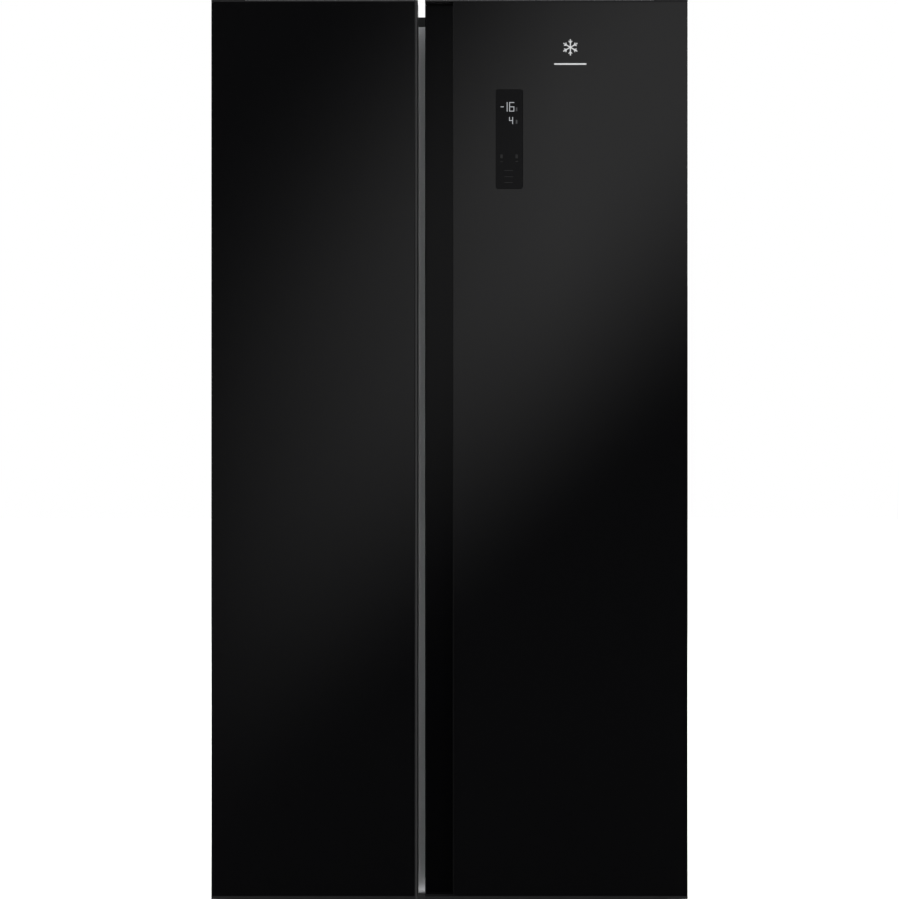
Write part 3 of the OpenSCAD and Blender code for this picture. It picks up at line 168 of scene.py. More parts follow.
class Finish(Shading):
    """A material under construction: one principled shader and what feeds it."""

    def __init__(self, name, colour, roughness, metallic=0.0, **constants):
        self.material = bpy.data.materials.new(name)
        super().__init__(self.material)
        output = self.tree.nodes.new("ShaderNodeOutputMaterial")
        self.shader = self.tree.nodes.new("ShaderNodeBsdfPrincipled")
        self.tree.links.new(self.shader.outputs[0], output.inputs[0])
        self.set("Base Color", (*colour, 1.0))
        self.set("Roughness", roughness)
        self.set("Metallic", metallic)
        for socket, value in constants.items():
            self.set(socket.replace("_", " "), value)

    def set(self, socket, value):
        self.plug(self.shader.inputs[socket], value)

    def place(self, stretch=(1.0, 1.0, 1.0), turn=(0.0, 0.0, 0.0)):
        """Object coordinates, stretched and turned."""
        coordinates = self.node("ShaderNodeTexCoord", output="Object")
        return self.node("ShaderNodeMapping", {}, {"Vector": coordinates, "Scale": stretch, "Rotation": turn})

    def noise(self, size, detail=3.0, stretch=(1.0, 1.0, 1.0)):
        """Soft noise from 0 to 1 with features about size metres across."""
        return self.node("ShaderNodeTexNoise", {},
                         {"Vector": self.place(stretch), "Scale": 1.0 / size, "Detail": detail})

    def cells(self, size, output="Distance"):
        return self.node("ShaderNodeTexVoronoi", {}, {"Vector": self.place(), "Scale": 1.0 / size}, output)

    def tint(self, mask, low, high):
        """The base colour goes from low to high with the mask."""
        mixed = self.node("ShaderNodeMix", {"data_type": "RGBA"},
                          {0: mask, 6: (*low, 1.0), 7: (*high, 1.0)}, output=2)
        self.set("Base Color", mixed)

    def bump(self, height, depth, strength=1.0):
        self.set("Normal", self.node("ShaderNodeBump", {},
                                     {"Strength": strength, "Distance": depth, "Height": height}, "Normal"))


def around(value, spread):
    """A colour a little darker and a little lighter than value."""
    return tuple(c * (1 - spread) for c in value), tuple(c * (1 + spread) for c in value)


# ---------------------------------------------------------------- finishes


def black_door_glass():
    finish = Finish("black_door_glass", (0.0021, 0.0021, 0.0023), 0.05, IOR=1.5)
    smears = finish.noise(0.35, 4.0, (1.0, 1.0, 0.4))
    specks = finish.noise(0.004, 2.0)
    finish.set("Roughness", 0.035 + smears * 0.03 + specks * 0.008)
    finish.bump(finish.noise(0.25, 1.0), 0.00004, 0.25)
    return finish.material


PANEL_TONE = (0.0024, 0.0024, 0.0027)


def panel_glass():
    finish = Finish("panel_glass", PANEL_TONE, 0.16, IOR=1.25)
    grain = finish.noise(0.0012, 2.0)
    finish.set("Roughness", 0.13 + grain * 0.06)
    finish.tint(finish.noise(0.05), *around(PANEL_TONE, 0.12))
    return finish.material


def moulded(name, colour, roughness, grain=0.0009, depth=0.00004, spread=0.06, **constants):
    """Moulded plastic: a fine texture from the tool and a slight drift in colour."""
    finish = Finish(name, colour, roughness, **constants)
    texture = finish.noise(grain, 4.0)
    finish.bump(texture, depth, 0.6)
    finish.set("Roughness", roughness - 0.05 + finish.noise(0.09, 3.0) * 0.07 + texture * 0.04)
    finish.tint(finish.noise(0.12, 2.0), *around(colour, spread))
    return finish.material


def powder_coat(name, colour, roughness, peel=0.0035, depth=0.00008):
    """Baked paint on sheet steel, with orange peel."""
    finish = Finish(name, colour, roughness, Coat_Weight=0.15, Coat_Roughness=0.3)
    skin = finish.noise(peel, 2.0)
    finish.bump(skin + 0.35 * finish.noise(peel * 0.3, 2.0), depth, 0.7)
    finish.set("Roughness", roughness - 0.06 + skin * 0.1)
    finish.tint(finish.noise(0.2), *around(colour, 0.08))
    return finish.material


def galvanised_steel():
    finish = Finish("galvanised_steel", (0.5, 0.51, 0.53), 0.42, 0.85)
    spangle = finish.cells(0.011, "Color")
    flake = finish.node("ShaderNodeSeparateColor", {}, {0: spangle})
    finish.set("Roughness", 0.34 + flake * 0.2)
    finish.tint(flake, (0.46, 0.47, 0.49), (0.58, 0.59, 0.6))
    finish.bump(finish.noise(0.003, 3.0), 0.00004, 0.5)
    return finish.material


def brushed_metal(name, colour, roughness, stretch, metallic=1.0):
    """Metal drawn or brushed along the axis with the smallest stretch."""
    finish = Finish(name, colour, roughness, metallic)
    lines = finish.noise(0.0015, 4.0, stretch)
    finish.bump(lines, 0.00003, 0.5)
    finish.set("Roughness", roughness - 0.06 + lines * 0.12)
    finish.tint(finish.noise(0.03), *around(colour, 0.1))
    return finish.material


def liner_plastic():
    """White vacuum-formed sheet, glossy and slightly uneven."""
    finish = Finish("liner_plastic", (0.72, 0.73, 0.73), 0.3, IOR=1.5)
    finish.bump(finish.noise(0.03, 2.0) + 0.15 * finish.noise(0.0015, 2.0), 0.00018, 0.5)
    finish.set("Roughness", 0.24 + finish.noise(0.05, 3.0) * 0.14)
    finish.tint(finish.noise(0.3), (0.7, 0.715, 0.72), (0.75, 0.76, 0.755))
    return finish.material


def clear_sheet(name, colour, alpha, roughness):
    """Clear plastic or glass as a see-through skin."""
    finish = Finish(name, colour, roughness, Alpha=alpha, IOR=1.5)
    finish.set("Roughness", roughness + finish.noise(0.04, 3.0) * 0.06)
    finish.bump(finish.noise(0.02, 2.0), 0.00006, 0.4)
    finish.set("Alpha", alpha - 0.03 + finish.noise(0.1) * 0.06)
    return finish.material


def foam_skin():
    finish = Finish("foam_skin", (0.78, 0.66, 0.4), 0.85)
    pores = finish.cells(0.0022)
    finish.bump(pores, 0.0004, 0.8)
    finish.tint(finish.noise(0.03), (0.7, 0.58, 0.34), (0.84, 0.74, 0.48))
    return finish.material


def soft_rubber(name, colour, roughness=0.6):
    finish = Finish(name, colour, roughness)
    dust = finish.noise(0.02, 4.0)
    finish.bump(finish.noise(0.0008, 3.0), 0.00005, 0.6)
    finish.set("Roughness", roughness - 0.06 + dust * 0.14)
    finish.tint(dust, *around(colour, 0.12))
    return finish.material


def glowing(name, colour, strength, body=(0.9, 0.9, 0.88)):
    finish = Finish(name, body, 0.35, Emission_Color=(*colour, 1.0), Emission_Strength=strength)
    finish.bump(finish.noise(0.002, 2.0), 0.00003, 0.4)
    return finish.material


FINISHES = {
    "glass_black": black_door_glass(),
    "panel_black": panel_glass(),
    "cabinet_paint": powder_coat("cabinet_paint", (0.011, 0.0113, 0.0122), 0.42),
    "galvanised": galvanised_steel(),
    "base_paint": powder_coat("base_paint", (0.02, 0.02, 0.021), 0.35, 0.006),
    "door_trim": moulded("door_trim", (0.0075, 0.0075, 0.008), 0.36, 0.0007, 0.00002),
    "divider_grey": moulded("divider_grey", (0.68, 0.685, 0.7), 0.4),
    "black_plastic": moulded("black_plastic", (0.018, 0.018, 0.018), 0.55, 0.0012, 0.00008),
    "liner_white": liner_plastic(),
    "insulation": foam_skin(),
    "gasket_grey": soft_rubber("gasket_grey", (0.3, 0.305, 0.31), 0.55),
    "mount_rubber": soft_rubber("mount_rubber", (0.015, 0.015, 0.015), 0.7),
    "clear_plastic": clear_sheet("clear_plastic", (0.8, 0.88, 0.92), 0.34, 0.08),
    "shelf_clear": clear_sheet("shelf_clear", (0.62, 0.8, 0.76), 0.3, 0.03),
    "trim_silver": brushed_metal("trim_silver", (0.6, 0.61, 0.62), 0.32, (0.05, 1.0, 1.0), 0.8),
    "white_plastic": moulded("white_plastic", (0.7, 0.71, 0.72), 0.4),
    "lamp_white": glowing("lamp_white", (1.0, 0.97, 0.9), 3.0),
    "fin_aluminium": brushed_metal("fin_aluminium", (0.75, 0.76, 0.78), 0.35, (1.0, 1.0, 0.05)),
    "copper_pipe": brushed_metal("copper_pipe", (0.72, 0.36, 0.2), 0.3, (1.0, 1.0, 1.0)),
    "emblem_silver": brushed_metal("emblem_silver", (0.56, 0.565, 0.57), 0.34, (0.1, 1.0, 1.0), 0.2),
}
GRIP_BLACK = moulded("grip_black", (0.0009, 0.0009, 0.0011), 0.12, 0.0006, 0.000004, IOR=1.33)
LIT_DIGITS = glowing("lit_digits", (0.92, 0.95, 1.0), 0.42, (0.02, 0.02, 0.02))
DIM_MARKS = glowing("dim_marks", (0.9, 0.93, 1.0), 0.03, (0.02, 0.02, 0.02))
FAINT_MARKS = glowing("faint_marks", (0.9, 0.93, 1.0), 0.004, (0.007, 0.007, 0.007))
ZINC = brushed_metal("zinc_plate", (0.6, 0.6, 0.58), 0.35, (1.0, 1.0, 1.0))
WIRE_SLEEVE = soft_rubber("wire_sleeve", (0.02, 0.02, 0.02), 0.5)
COMPRESSOR_BLACK = powder_coat("compressor_black", (0.012, 0.012, 0.013), 0.22, 0.009, 0.00015)


# ---------------------------------------------------------------- mesh helpers

# The faces of a rounded edge are narrower than this many times its radius.
THIN_FACE = 2.2
# Broad faces that meet at less than this angle, in degrees, are one curved surface.
CURVED_ANGLE = 25.0
# The most that a rounded edge turns away from the broad face beside it.
EDGE_ANGLE = 75.0
# Edges are rounded where faces meet at more than the first, and dissolved below the second.
SHARP_ANGLE = 35.0
FLAT_ANGLE = 0.5
MERGE_DISTANCE = 2e-6


def smooth(mesh, angle):
    """Smooth shading, but for edges of more than angle degrees."""
    mesh.shade_smooth()
    mesh.set_sharp_from_angle(angle=math.radians(angle))


def add_piece(name, mesh, material, body, slot, *replaced):
    """Shows a finished mesh as a piece that moves with a body."""
    piece = bpy.data.objects.new(name, mesh)
    bpy.context.scene.collection.objects.link(piece)
    mesh.materials.clear()
    mesh.materials.append(material)
    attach(piece, body)
    if replaced:
        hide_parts(*replaced)
    return piece


def settled(mesh, *modifiers):
    """A new mesh with modifiers applied. Each is a type and its settings."""
    carrier = bpy.data.objects.new("carrier", mesh)
    bpy.context.scene.collection.objects.link(carrier)
    for kind, settings in modifiers:
        modifier = carrier.modifiers.new(kind.lower(), kind)
        for key, value in settings.items():
            setattr(modifier, key, value)
    bpy.context.view_layer.update()
    evaluated = carrier.evaluated_get(bpy.context.evaluated_depsgraph_get())
    result = bpy.data.meshes.new_from_object(evaluated)
    bpy.data.objects.remove(carrier)
    return result


def bevelled(mesh, width, segments=2):
    """Rounds the sharp edges, and keeps the flat faces flat in the shading."""
    if width:
        mesh = settled(mesh, ("BEVEL", {
            "width": width, "segments": segments, "miter_outer": "MITER_ARC",
            "limit_method": "ANGLE", "angle_limit": math.radians(SHARP_ANGLE)}))
    set_normals(mesh, THIN_FACE * width)
    return mesh


def set_normals(mesh, thin):
    """Corner normals from the broad faces, which the thin faces of a rounded edge then follow."""
    same_surface = math.cos(math.radians(CURVED_ANGLE))
    edge_turn = math.cos(math.radians(EDGE_ANGLE))
    normals = [face.normal.copy() for face in mesh.polygons]
    areas = [face.area for face in mesh.polygons]
    broad = []
    for face in mesh.polygons:
        corners = [mesh.vertices[i].co for i in face.vertices]
        longest = max((corners[k] - corners[k - 1]).length for k in range(len(corners)))
        broad.append(face.area > thin * longest)
    around_vertex = [[] for _ in mesh.vertices]
    for face in mesh.polygons:
        for i in face.vertices:
            around_vertex[i].append(face.index)

    def blended(aim, faces):
        total = Vector((0.0, 0.0, 0.0))
        for index in faces:
            if normals[index].dot(aim) > same_surface:
                total += normals[index] * areas[index]
        return total.normalized() if total.length > 0 else aim

    corner_normals = []
    for face in mesh.polygons:
        own = normals[face.index]
        for i in face.vertices:
            wide = [index for index in around_vertex[i] if broad[index]]
            if wide and not broad[face.index]:
                nearest = max(wide, key=lambda index: normals[index].dot(own))
                if normals[nearest].dot(own) > edge_turn:
                    corner_normals.append(blended(normals[nearest], wide))
                    continue
            corner_normals.append(blended(own, wide if broad[face.index] else around_vertex[i]))
    mesh.shade_smooth()
    mesh.normals_split_custom_set(corner_normals)


def refined(node, width, segments=2, material=None):
    """The CAD node's own shape with merged corners, soft edges and its finish."""
    shape = bmesh.new()
    shape.from_mesh(NODES[node].data)
    bmesh.ops.remove_doubles(shape, verts=shape.verts, dist=MERGE_DISTANCE)
    bmesh.ops.dissolve_limit(shape, angle_limit=math.radians(FLAT_ANGLE),
                             verts=shape.verts, edges=shape.edges)
    many_sided = [face for face in shape.faces if len(face.verts) > 4]
    bmesh.ops.triangulate(shape, faces=many_sided, quad_method="BEAUTY", ngon_method="BEAUTY")
    mesh = bpy.data.meshes.new(node)
    shape.to_mesh(mesh)
    shape.free()
    mesh = bevelled(mesh, width, segments)
    slot = SLOT_OF[node]
    return add_piece(f"{node}_shell", mesh, material or FINISHES[slot], BODY_OF[node], slot, node)


def mesh_from(name, vertices, faces):
    mesh = bpy.data.meshes.new(name)
    mesh.from_pydata([tuple(v) for v in vertices], [], faces)
    shape = bmesh.new()
    shape.from_mesh(mesh)
    bmesh.ops.remove_doubles(shape, verts=shape.verts, dist=MERGE_DISTANCE)
    bmesh.ops.recalc_face_normals(shape, faces=shape.faces)
    shape.to_mesh(mesh)
    shape.free()
    return mesh


def slabs(name, boxes, edge):
    """Blocks between opposite corners, all with rounded edges, in one mesh."""
    shape = bmesh.new()
    for low, high in boxes:
        low, high = Vector(low), Vector(high)
        made = bmesh.ops.create_cube(shape, size=1.0)["verts"]
        middle = Matrix.Translation((low + high) / 2) @ Matrix.Diagonal((*(high - low), 1.0))
        bmesh.ops.transform(shape, matrix=middle, verts=made)
    mesh = bpy.data.meshes.new(name)
    shape.to_mesh(mesh)
    shape.free()
    return bevelled(mesh, edge)


def tube(name, points, radius, sides=10):
    """A round tube on a smooth curve through the points."""
    curve = bpy.data.curves.new(name, "CURVE")
    curve.dimensions = "3D"
    curve.bevel_depth = radius
    curve.bevel_resolution = sides // 4
    curve.use_fill_caps = True
    line = curve.splines.new("NURBS")
    line.points.add(len(points) - 1)
    for point, place in zip(line.points, points):
        point.co = (*place, 1.0)
    line.order_u = 3
    line.use_endpoint_u = True
    line.resolution_u = 6
    carrier = bpy.data.objects.new(name, curve)
    bpy.context.scene.collection.objects.link(carrier)
    bpy.context.view_layer.update()
    mesh = bpy.data.meshes.new_from_object(carrier.evaluated_get(bpy.context.evaluated_depsgraph_get()))
    bpy.data.objects.remove(carrier)
    smooth(mesh, angle=60)
    return mesh


def ring_moulding(name, x0, x1, z0, z1, profile):
    """A mitred frame in the XZ plane. The profile lists (inset, y) round its section."""
    corners = []
    for inset, y in profile:
        corners.append([(x0 + inset, y, z0 + inset), (x1 - inset, y, z0 + inset),
                        (x1 - inset, y, z1 - inset), (x0 + inset, y, z1 - inset)])
    vertices = [corner for ring in corners for corner in ring]
    count = len(profile)
    faces = []
    for i in range(count):
        j = (i + 1) % count
        for k in range(4):
            m = (k + 1) % 4
            faces.append((i * 4 + k, i * 4 + m, j * 4 + m, j * 4 + k))
    mesh = mesh_from(name, vertices, faces)
    smooth(mesh, angle=40)
    return mesh


# ---------------------------------------------------------------- repeated things


class Grower:
    """A geometry tree with named inputs that repeats an item over a grid."""

    def __init__(self, name, sizes):
        self.tree = bpy.data.node_groups.new(name, "GeometryNodeTree")
        self.sizes = sizes
        face = self.tree.interface
        for label, value in sizes.items():
            kind = {int: "NodeSocketInt", float: "NodeSocketFloat"}.get(type(value), "NodeSocketVector")
            face.new_socket(label, in_out="INPUT", socket_type=kind)
        face.new_socket("Geometry", in_out="OUTPUT", socket_type="NodeSocketGeometry")
        self.entry = self.tree.nodes.new("NodeGroupInput")
        self.exit = self.tree.nodes.new("NodeGroupOutput")

    def size(self, label):
        return self.entry.outputs[label]

    def node(self, kind, settings=None, inputs=(), output=0):
        node = self.tree.nodes.new(kind)
        for key, value in (settings or {}).items():
            setattr(node, key, value)
        pairs = inputs.items() if isinstance(inputs, dict) else enumerate(inputs)
        for key, value in pairs:
            targets = value if isinstance(value, list) else [value]
            for target in targets:
                if isinstance(target, bpy.types.NodeSocket):
                    self.tree.links.new(target, node.inputs[key])
                else:
                    node.inputs[key].default_value = target
        return node.outputs[output]

    def grid(self):
        """Points from Start, in Columns by Column step and Rows by Row step."""
        first = self.node("GeometryNodeMeshLine", {"mode": "OFFSET"},
                          {"Count": self.size("Columns"), "Start Location": self.size("Start"),
                           "Offset": self.size("Column step")})
        second = self.node("GeometryNodeMeshLine", {"mode": "OFFSET"},
                           {"Count": self.size("Rows"), "Offset": self.size("Row step")})
        rows = self.node("GeometryNodeInstanceOnPoints", {}, {"Points": second, "Instance": first})
        return self.node("GeometryNodeRealizeInstances", {}, [rows])

    def grow(self, item, material):
        """Puts the item on the grid and returns the plain mesh."""
        placed = self.node("GeometryNodeInstanceOnPoints", {},
                           {"Points": self.grid(), "Instance": item, "Rotation": self.size("Turn")})
        solid = self.node("GeometryNodeRealizeInstances", {}, [placed])
        done = self.node("GeometryNodeSetMaterial", {}, {"Geometry": solid, "Material": material})
        self.tree.links.new(done, self.exit.inputs[0])
        carrier = bpy.data.objects.new(self.tree.name, bpy.data.meshes.new(self.tree.name))
        bpy.context.scene.collection.objects.link(carrier)
        modifier = carrier.modifiers.new("grow", "NODES")
        modifier.node_group = self.tree
        for socket in self.tree.interface.items_tree:
            if socket.in_out == "INPUT":
                modifier[socket.identifier] = self.sizes[socket.name]
        bpy.context.view_layer.update()
        mesh = bpy.data.meshes.new_from_object(carrier.evaluated_get(bpy.context.evaluated_depsgraph_get()))
        carrier.modifiers.remove(modifier)
        bpy.data.objects.remove(carrier)
        return mesh


def grid_sizes(start, columns, column_step, rows, row_step, turn=(0.0, 0.0, 0.0), **more):
    return {"Start": Vector(start), "Columns": columns, "Column step": Vector(column_step),
            "Rows": rows, "Row step": Vector(row_step), "Turn": Vector(turn), **more}


def add_screws(name, start, columns, column_step, rows, row_step, turn, body, slot,
               radius=0.0042, material=None):
    """Pan-head screws with a cross recess, facing along the turned Z."""
    grower = Grower(name, grid_sizes(start, columns, column_step, rows, row_step, turn,
                                     **{"Head radius": radius, "Head height": radius * 0.55}))
    head = grower.node("GeometryNodeMeshCone", {}, {
        "Vertices": 20, "Side Segments": 2, "Radius Top": radius * 0.62,
        "Radius Bottom": grower.size("Head radius"), "Depth": grower.size("Head height")})
    slot_l, slot_w, slot_h = radius * 0.95, radius * 0.22, radius * 0.08
    across = [grower.node("GeometryNodeMeshCube", {}, {"Size": Vector(size)})
              for size in ((slot_l, slot_w, slot_h), (slot_w, slot_l, slot_h))]
    lifted = [grower.node("GeometryNodeTransform", {},
                          {"Geometry": bar, "Translation": Vector((0, 0, radius * 0.57))}) for bar in across]
    item = grower.node("GeometryNodeJoinGeometry", {}, {"Geometry": [head, *lifted]})
    mesh = grower.grow(item, material or ZINC)
    smooth(mesh, angle=30)
    return add_piece(name, mesh, material or ZINC, body, slot)


def add_ribs(name, start, columns, column_step, rows, row_step, turn, length, radius, body, slot, material):
    """Half-sunk flattened ribs along the turned Z."""
    grower = Grower(name, grid_sizes(start, columns, column_step, rows, row_step, turn,
                                     **{"Length": length, "Radius": radius}))
    bar = grower.node("GeometryNodeMeshCylinder", {}, {
        "Vertices": 24, "Radius": grower.size("Radius"), "Depth": grower.size("Length")})
    rib = grower.node("GeometryNodeTransform", {}, {"Geometry": bar, "Scale": Vector((1.0, 0.3, 1.0))})
    mesh = grower.grow(rib, material)
    smooth(mesh, angle=40)
    return add_piece(name, mesh, material, body, slot)


def add_fins(name, start, count, step, size, body, slot, material):
    """Thin plates in a row."""
    grower = Grower(name, grid_sizes(start, count, step, 1, (0, 0, 0), **{"Plate": Vector(size)}))
    plate = grower.node("GeometryNodeMeshCube", {}, {"Size": grower.size("Plate")})
    mesh = grower.grow(plate, material)
    return add_piece(name, mesh, material, body, slot)


# ---------------------------------------------------------------- the object


FACING_FRONT = (math.radians(90), 0.0, 0.0)
FACING_BACK = (math.radians(-90), 0.0, 0.0)
UPRIGHT = (0.0, 0.0, 0.0)


def doors():
    for node in ("freezer_door_glass", "fridge_door_glass"):
        refined(node, 0.9 * MM, 3)
    for node in ("freezer_door_frame", "fridge_door_frame"):
        refined(node, 0.7 * MM)
    refined("grip_channel", 0.6 * MM, material=GRIP_BLACK)
    refined("control_panel", 0.35 * MM)
    refined("emblem", 0.12 * MM)
    for node in ("freezer_door_liner", "fridge_door_liner"):
        refined(node, 0.9 * MM, 3)
    for node in ("freezer_door_foam", "fridge_door_foam"):
        refined(node, 0.0)


GASKET_WIDTH = 18 * MM
# The section, from 0 to 1 across and from the door to the cabinet: pocket, bellows and lip.
GASKET_SECTION = [
    (0.12, 0.0), (0.88, 0.0), (0.88, 0.16), (0.97, 0.28), (0.8, 0.38), (0.97, 0.5), (0.82, 0.6), (1.0, 0.68),
    (1.0, 0.97), (0.93, 1.0), (0.07, 1.0), (0.0, 0.97), (0.0, 0.68), (0.18, 0.6), (0.03, 0.5), (0.2, 0.38),
    (0.03, 0.28), (0.12, 0.16),
]


def gaskets():
    """Bellows, magnet pocket and sealing lip in one section."""
    for node in ("freezer_gasket", "fridge_gasket"):
        low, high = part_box(node)
        profile = [(u * GASKET_WIDTH, low.y + v * (high.y - low.y)) for u, v in GASKET_SECTION]
        mesh = ring_moulding(node, low.x, high.x, low.z, high.z, profile)
        add_piece(f"{node}_bellows", mesh, FINISHES["gasket_grey"], BODY_OF[node], "gasket_grey", node)


SEGMENTS = {"1": "bc", "4": "bcfg", "6": "acdefg"}
LIT_THICKNESS = 0.3 * MM
MARK_THICKNESS = 0.2 * MM
STROKE = 1.5 * MM


def digit_bars(text, x, z, height, y):
    """Seven-segment bars for a short number, with its upper left corner at x, z."""
    width = height * 0.5
    half = height / 2
    bars = []
    for character in text:
        spans = {
            "a": ((0, 0), (width, 0)),
            "b": ((width, 0), (width, -half)),
            "c": ((width, -half), (width, -height)),
            "d": ((0, -height), (width, -height)),
            "e": ((0, -half), (0, -height)),
            "f": ((0, 0), (0, -half)),
            "g": ((0, -half), (width, -half)),
        }
        for segment in SEGMENTS[character]:
            (u0, v0), (u1, v1) = spans[segment]
            low = (x + min(u0, u1) - STROKE / 2, y, z + min(v0, v1) - STROKE / 2)
            high = (x + max(u0, u1) + STROKE / 2, y + LIT_THICKNESS, z + max(v0, v1) + STROKE / 2)
            bars.append((low, high))
        x += width + height * 0.28
    return bars


def touch_panel_marks():
    """The lit numbers, their blank unit marks and the faint touch icons on the panel."""
    low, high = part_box("control_panel")
    face = low.y - 0.12 * MM
    left = (low.x + high.x) / 2 - 25.5 * MM
    top = high.z - 2 * MM

    def mark(u, v, width, height, thickness=MARK_THICKNESS):
        """A block on the face, placed by its upper left corner, in millimetres from the panel's."""
        return ((left + u * MM, face, top - (v + height) * MM),
                (left + (u + width) * MM, face + thickness, top - v * MM))

    lit = digit_bars("16", left + 13.3 * MM, top - 24.5 * MM, 16.5 * MM, face)
    lit.append(mark(9, 32, 6, 1.5, LIT_THICKNESS))
    lit += digit_bars("4", left + 26 * MM, top - 53 * MM, 12 * MM, face)
    icons = []
    for u in (8.5, 37.5):
        icons.append(mark(u, 124, 4.5, 7))
        icons.append(mark(u, 136.8, 5, 1.2))
    icons += [mark(16, v, 17, 1) for v in (154, 166, 177)]
    units = [mark(38, v, 3, 7) for v in (34, 58)]
    for name, blocks, edge, material in (
        ("panel_numbers", lit, 0.1 * MM, LIT_DIGITS),
        ("panel_icons", icons, 0.08 * MM, FAINT_MARKS),
        ("panel_units", units, 0.08 * MM, DIM_MARKS),
    ):
        add_piece(name, slabs(name, blocks, edge), material, "fridge_door", "panel_black")


def cabinet():
    for node in ("side_panel_left", "side_panel_right", "top_panel", "back_panel"):
        refined(node, 0.14 * MM, 1)
    refined("cabinet_foam", 0.0)
    refined("divider_cover", 0.5 * MM)
    refined("base_plate", 0.3 * MM, 1)
    refined("kick_plate", 0.4 * MM)
    refined("hinge_covers", 1.2 * MM, 3)
    refined("top_hinges", 0.5 * MM)
    refined("bottom_hinges", 0.5 * MM)
    for node in ("foot_left", "foot_right"):
        refined(node, 0.6 * MM)
    refined("rear_rollers", 0.8 * MM)


def rear_details():
    """Beads pressed into the back sheet, and the screws of the sheet and of the cover below it."""
    low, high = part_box("back_panel")
    back = high.y
    wide, tall = high.x - low.x, high.z - low.z
    beads = 5
    step = wide / beads
    start = (low.x + step / 2, back, (low.z + high.z) / 2 + 60 * MM)
    add_ribs("back_beads", start, beads, (step, 0, 0), 1, (0, 0, 0), UPRIGHT, tall * 0.78, 9 * MM,
             "cabinet", "galvanised", FINISHES["galvanised"])
    cover_low, cover_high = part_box("rear_cover")
    edge_x, edge_z = 14 * MM, 8 * MM
    screws = 6
    start = (cover_low.x + edge_x, back + 1.3 * MM, cover_low.z + edge_z)
    step = (cover_high.x - cover_low.x - 2 * edge_x) / (screws - 1)
    rise = cover_high.z - cover_low.z - 2 * edge_z
    add_screws("rear_cover_screws", start, screws, (step, 0, 0), 2, (0, 0, rise), FACING_BACK,
               "cabinet", "galvanised")
    edge = 7 * MM
    start = (low.x + edge, back + 1.2 * MM, low.z + 70 * MM)
    rise = (tall - 110 * MM) / (screws - 1)
    add_screws("back_sheet_screws", start, 2, (wide - 2 * edge, 0, 0), screws, (0, 0, rise), FACING_BACK,
               "cabinet", "galvanised")


def coil_fins(coil, count, slot):
    """Thin plates across the tubes of a coil, just inside its box."""
    low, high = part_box(coil)
    edge = 9 * MM
    start = (low.x + edge, (low.y + high.y) / 2, (low.z + high.z) / 2)
    step = (high.x - low.x - 2 * edge) / (count - 1)
    plate = (0.2 * MM, high.y - low.y - 1 * MM, high.z - low.z - 1 * MM)
    add_fins(f"{coil}_fins", start, count, (step, 0, 0), plate, "cabinet", slot, FINISHES["fin_aluminium"])


def compartments():
    for node in ("freezer_liner", "fridge_liner"):
        refined(node, 0.9 * MM)
    for node in ("freezer_duct_cover", "fridge_duct_cover"):
        refined(node, 0.8 * MM)
    refined("shelf_glass", 0.8 * MM)
    refined("shelf_trims", 0.7 * MM)
    refined("lamp_lenses", 1.5 * MM, 3)
    refined("ice_maker_frame", 0.6 * MM)
    refined("ice_tray", 0.6 * MM)
    refined("evaporator", 0.0)
    refined("evaporator_fan", 0.4 * MM)
    for node in ("freezer_drawer_upper", "freezer_drawer_lower", "crisper_upper", "crisper_lower", "ice_bin"):
        refined(node, 0.9 * MM)
    coil_fins("evaporator", 64, "fin_aluminium")
    low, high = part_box("freezer_duct_cover")
    edge_x, edge_z = 12 * MM, 14 * MM
    start = (low.x + edge_x, low.y - 0.6 * MM, low.z + edge_z)
    across, rise = high.x - low.x - 2 * edge_x, (high.z - low.z - 2 * edge_z) / 3
    add_screws("duct_cover_screws", start, 2, (across, 0, 0), 4, (0, 0, rise), FACING_FRONT,
               "cabinet", "white_plastic", material=FINISHES["white_plastic"])


# The rail round the top of a bin's front wall, measured from the bin's own lower corner.
BIN_FRONT = 111 * MM
RAIL_BOTTOM, RAIL_TOP = 66 * MM, 80 * MM
RAIL_END = 7 * MM


def door_bins():
    for door in ("freezer", "fridge"):
        for level in ("top", "middle", "bottom"):
            node = f"{door}_bin_{level}"
            refined(node, 0.9 * MM)
            low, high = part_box(node)
            front = low.y + BIN_FRONT
            rail = [((low.x + RAIL_END, front - 3.6 * MM, low.z + RAIL_BOTTOM),
                     (high.x - RAIL_END, front + 0.9 * MM, low.z + RAIL_TOP))]
            name = f"{node}_rail"
            add_piece(name, slabs(name, rail, 0.8 * MM), FINISHES["trim_silver"], node, "trim_silver")
    refined("dairy_lid", 0.8 * MM)


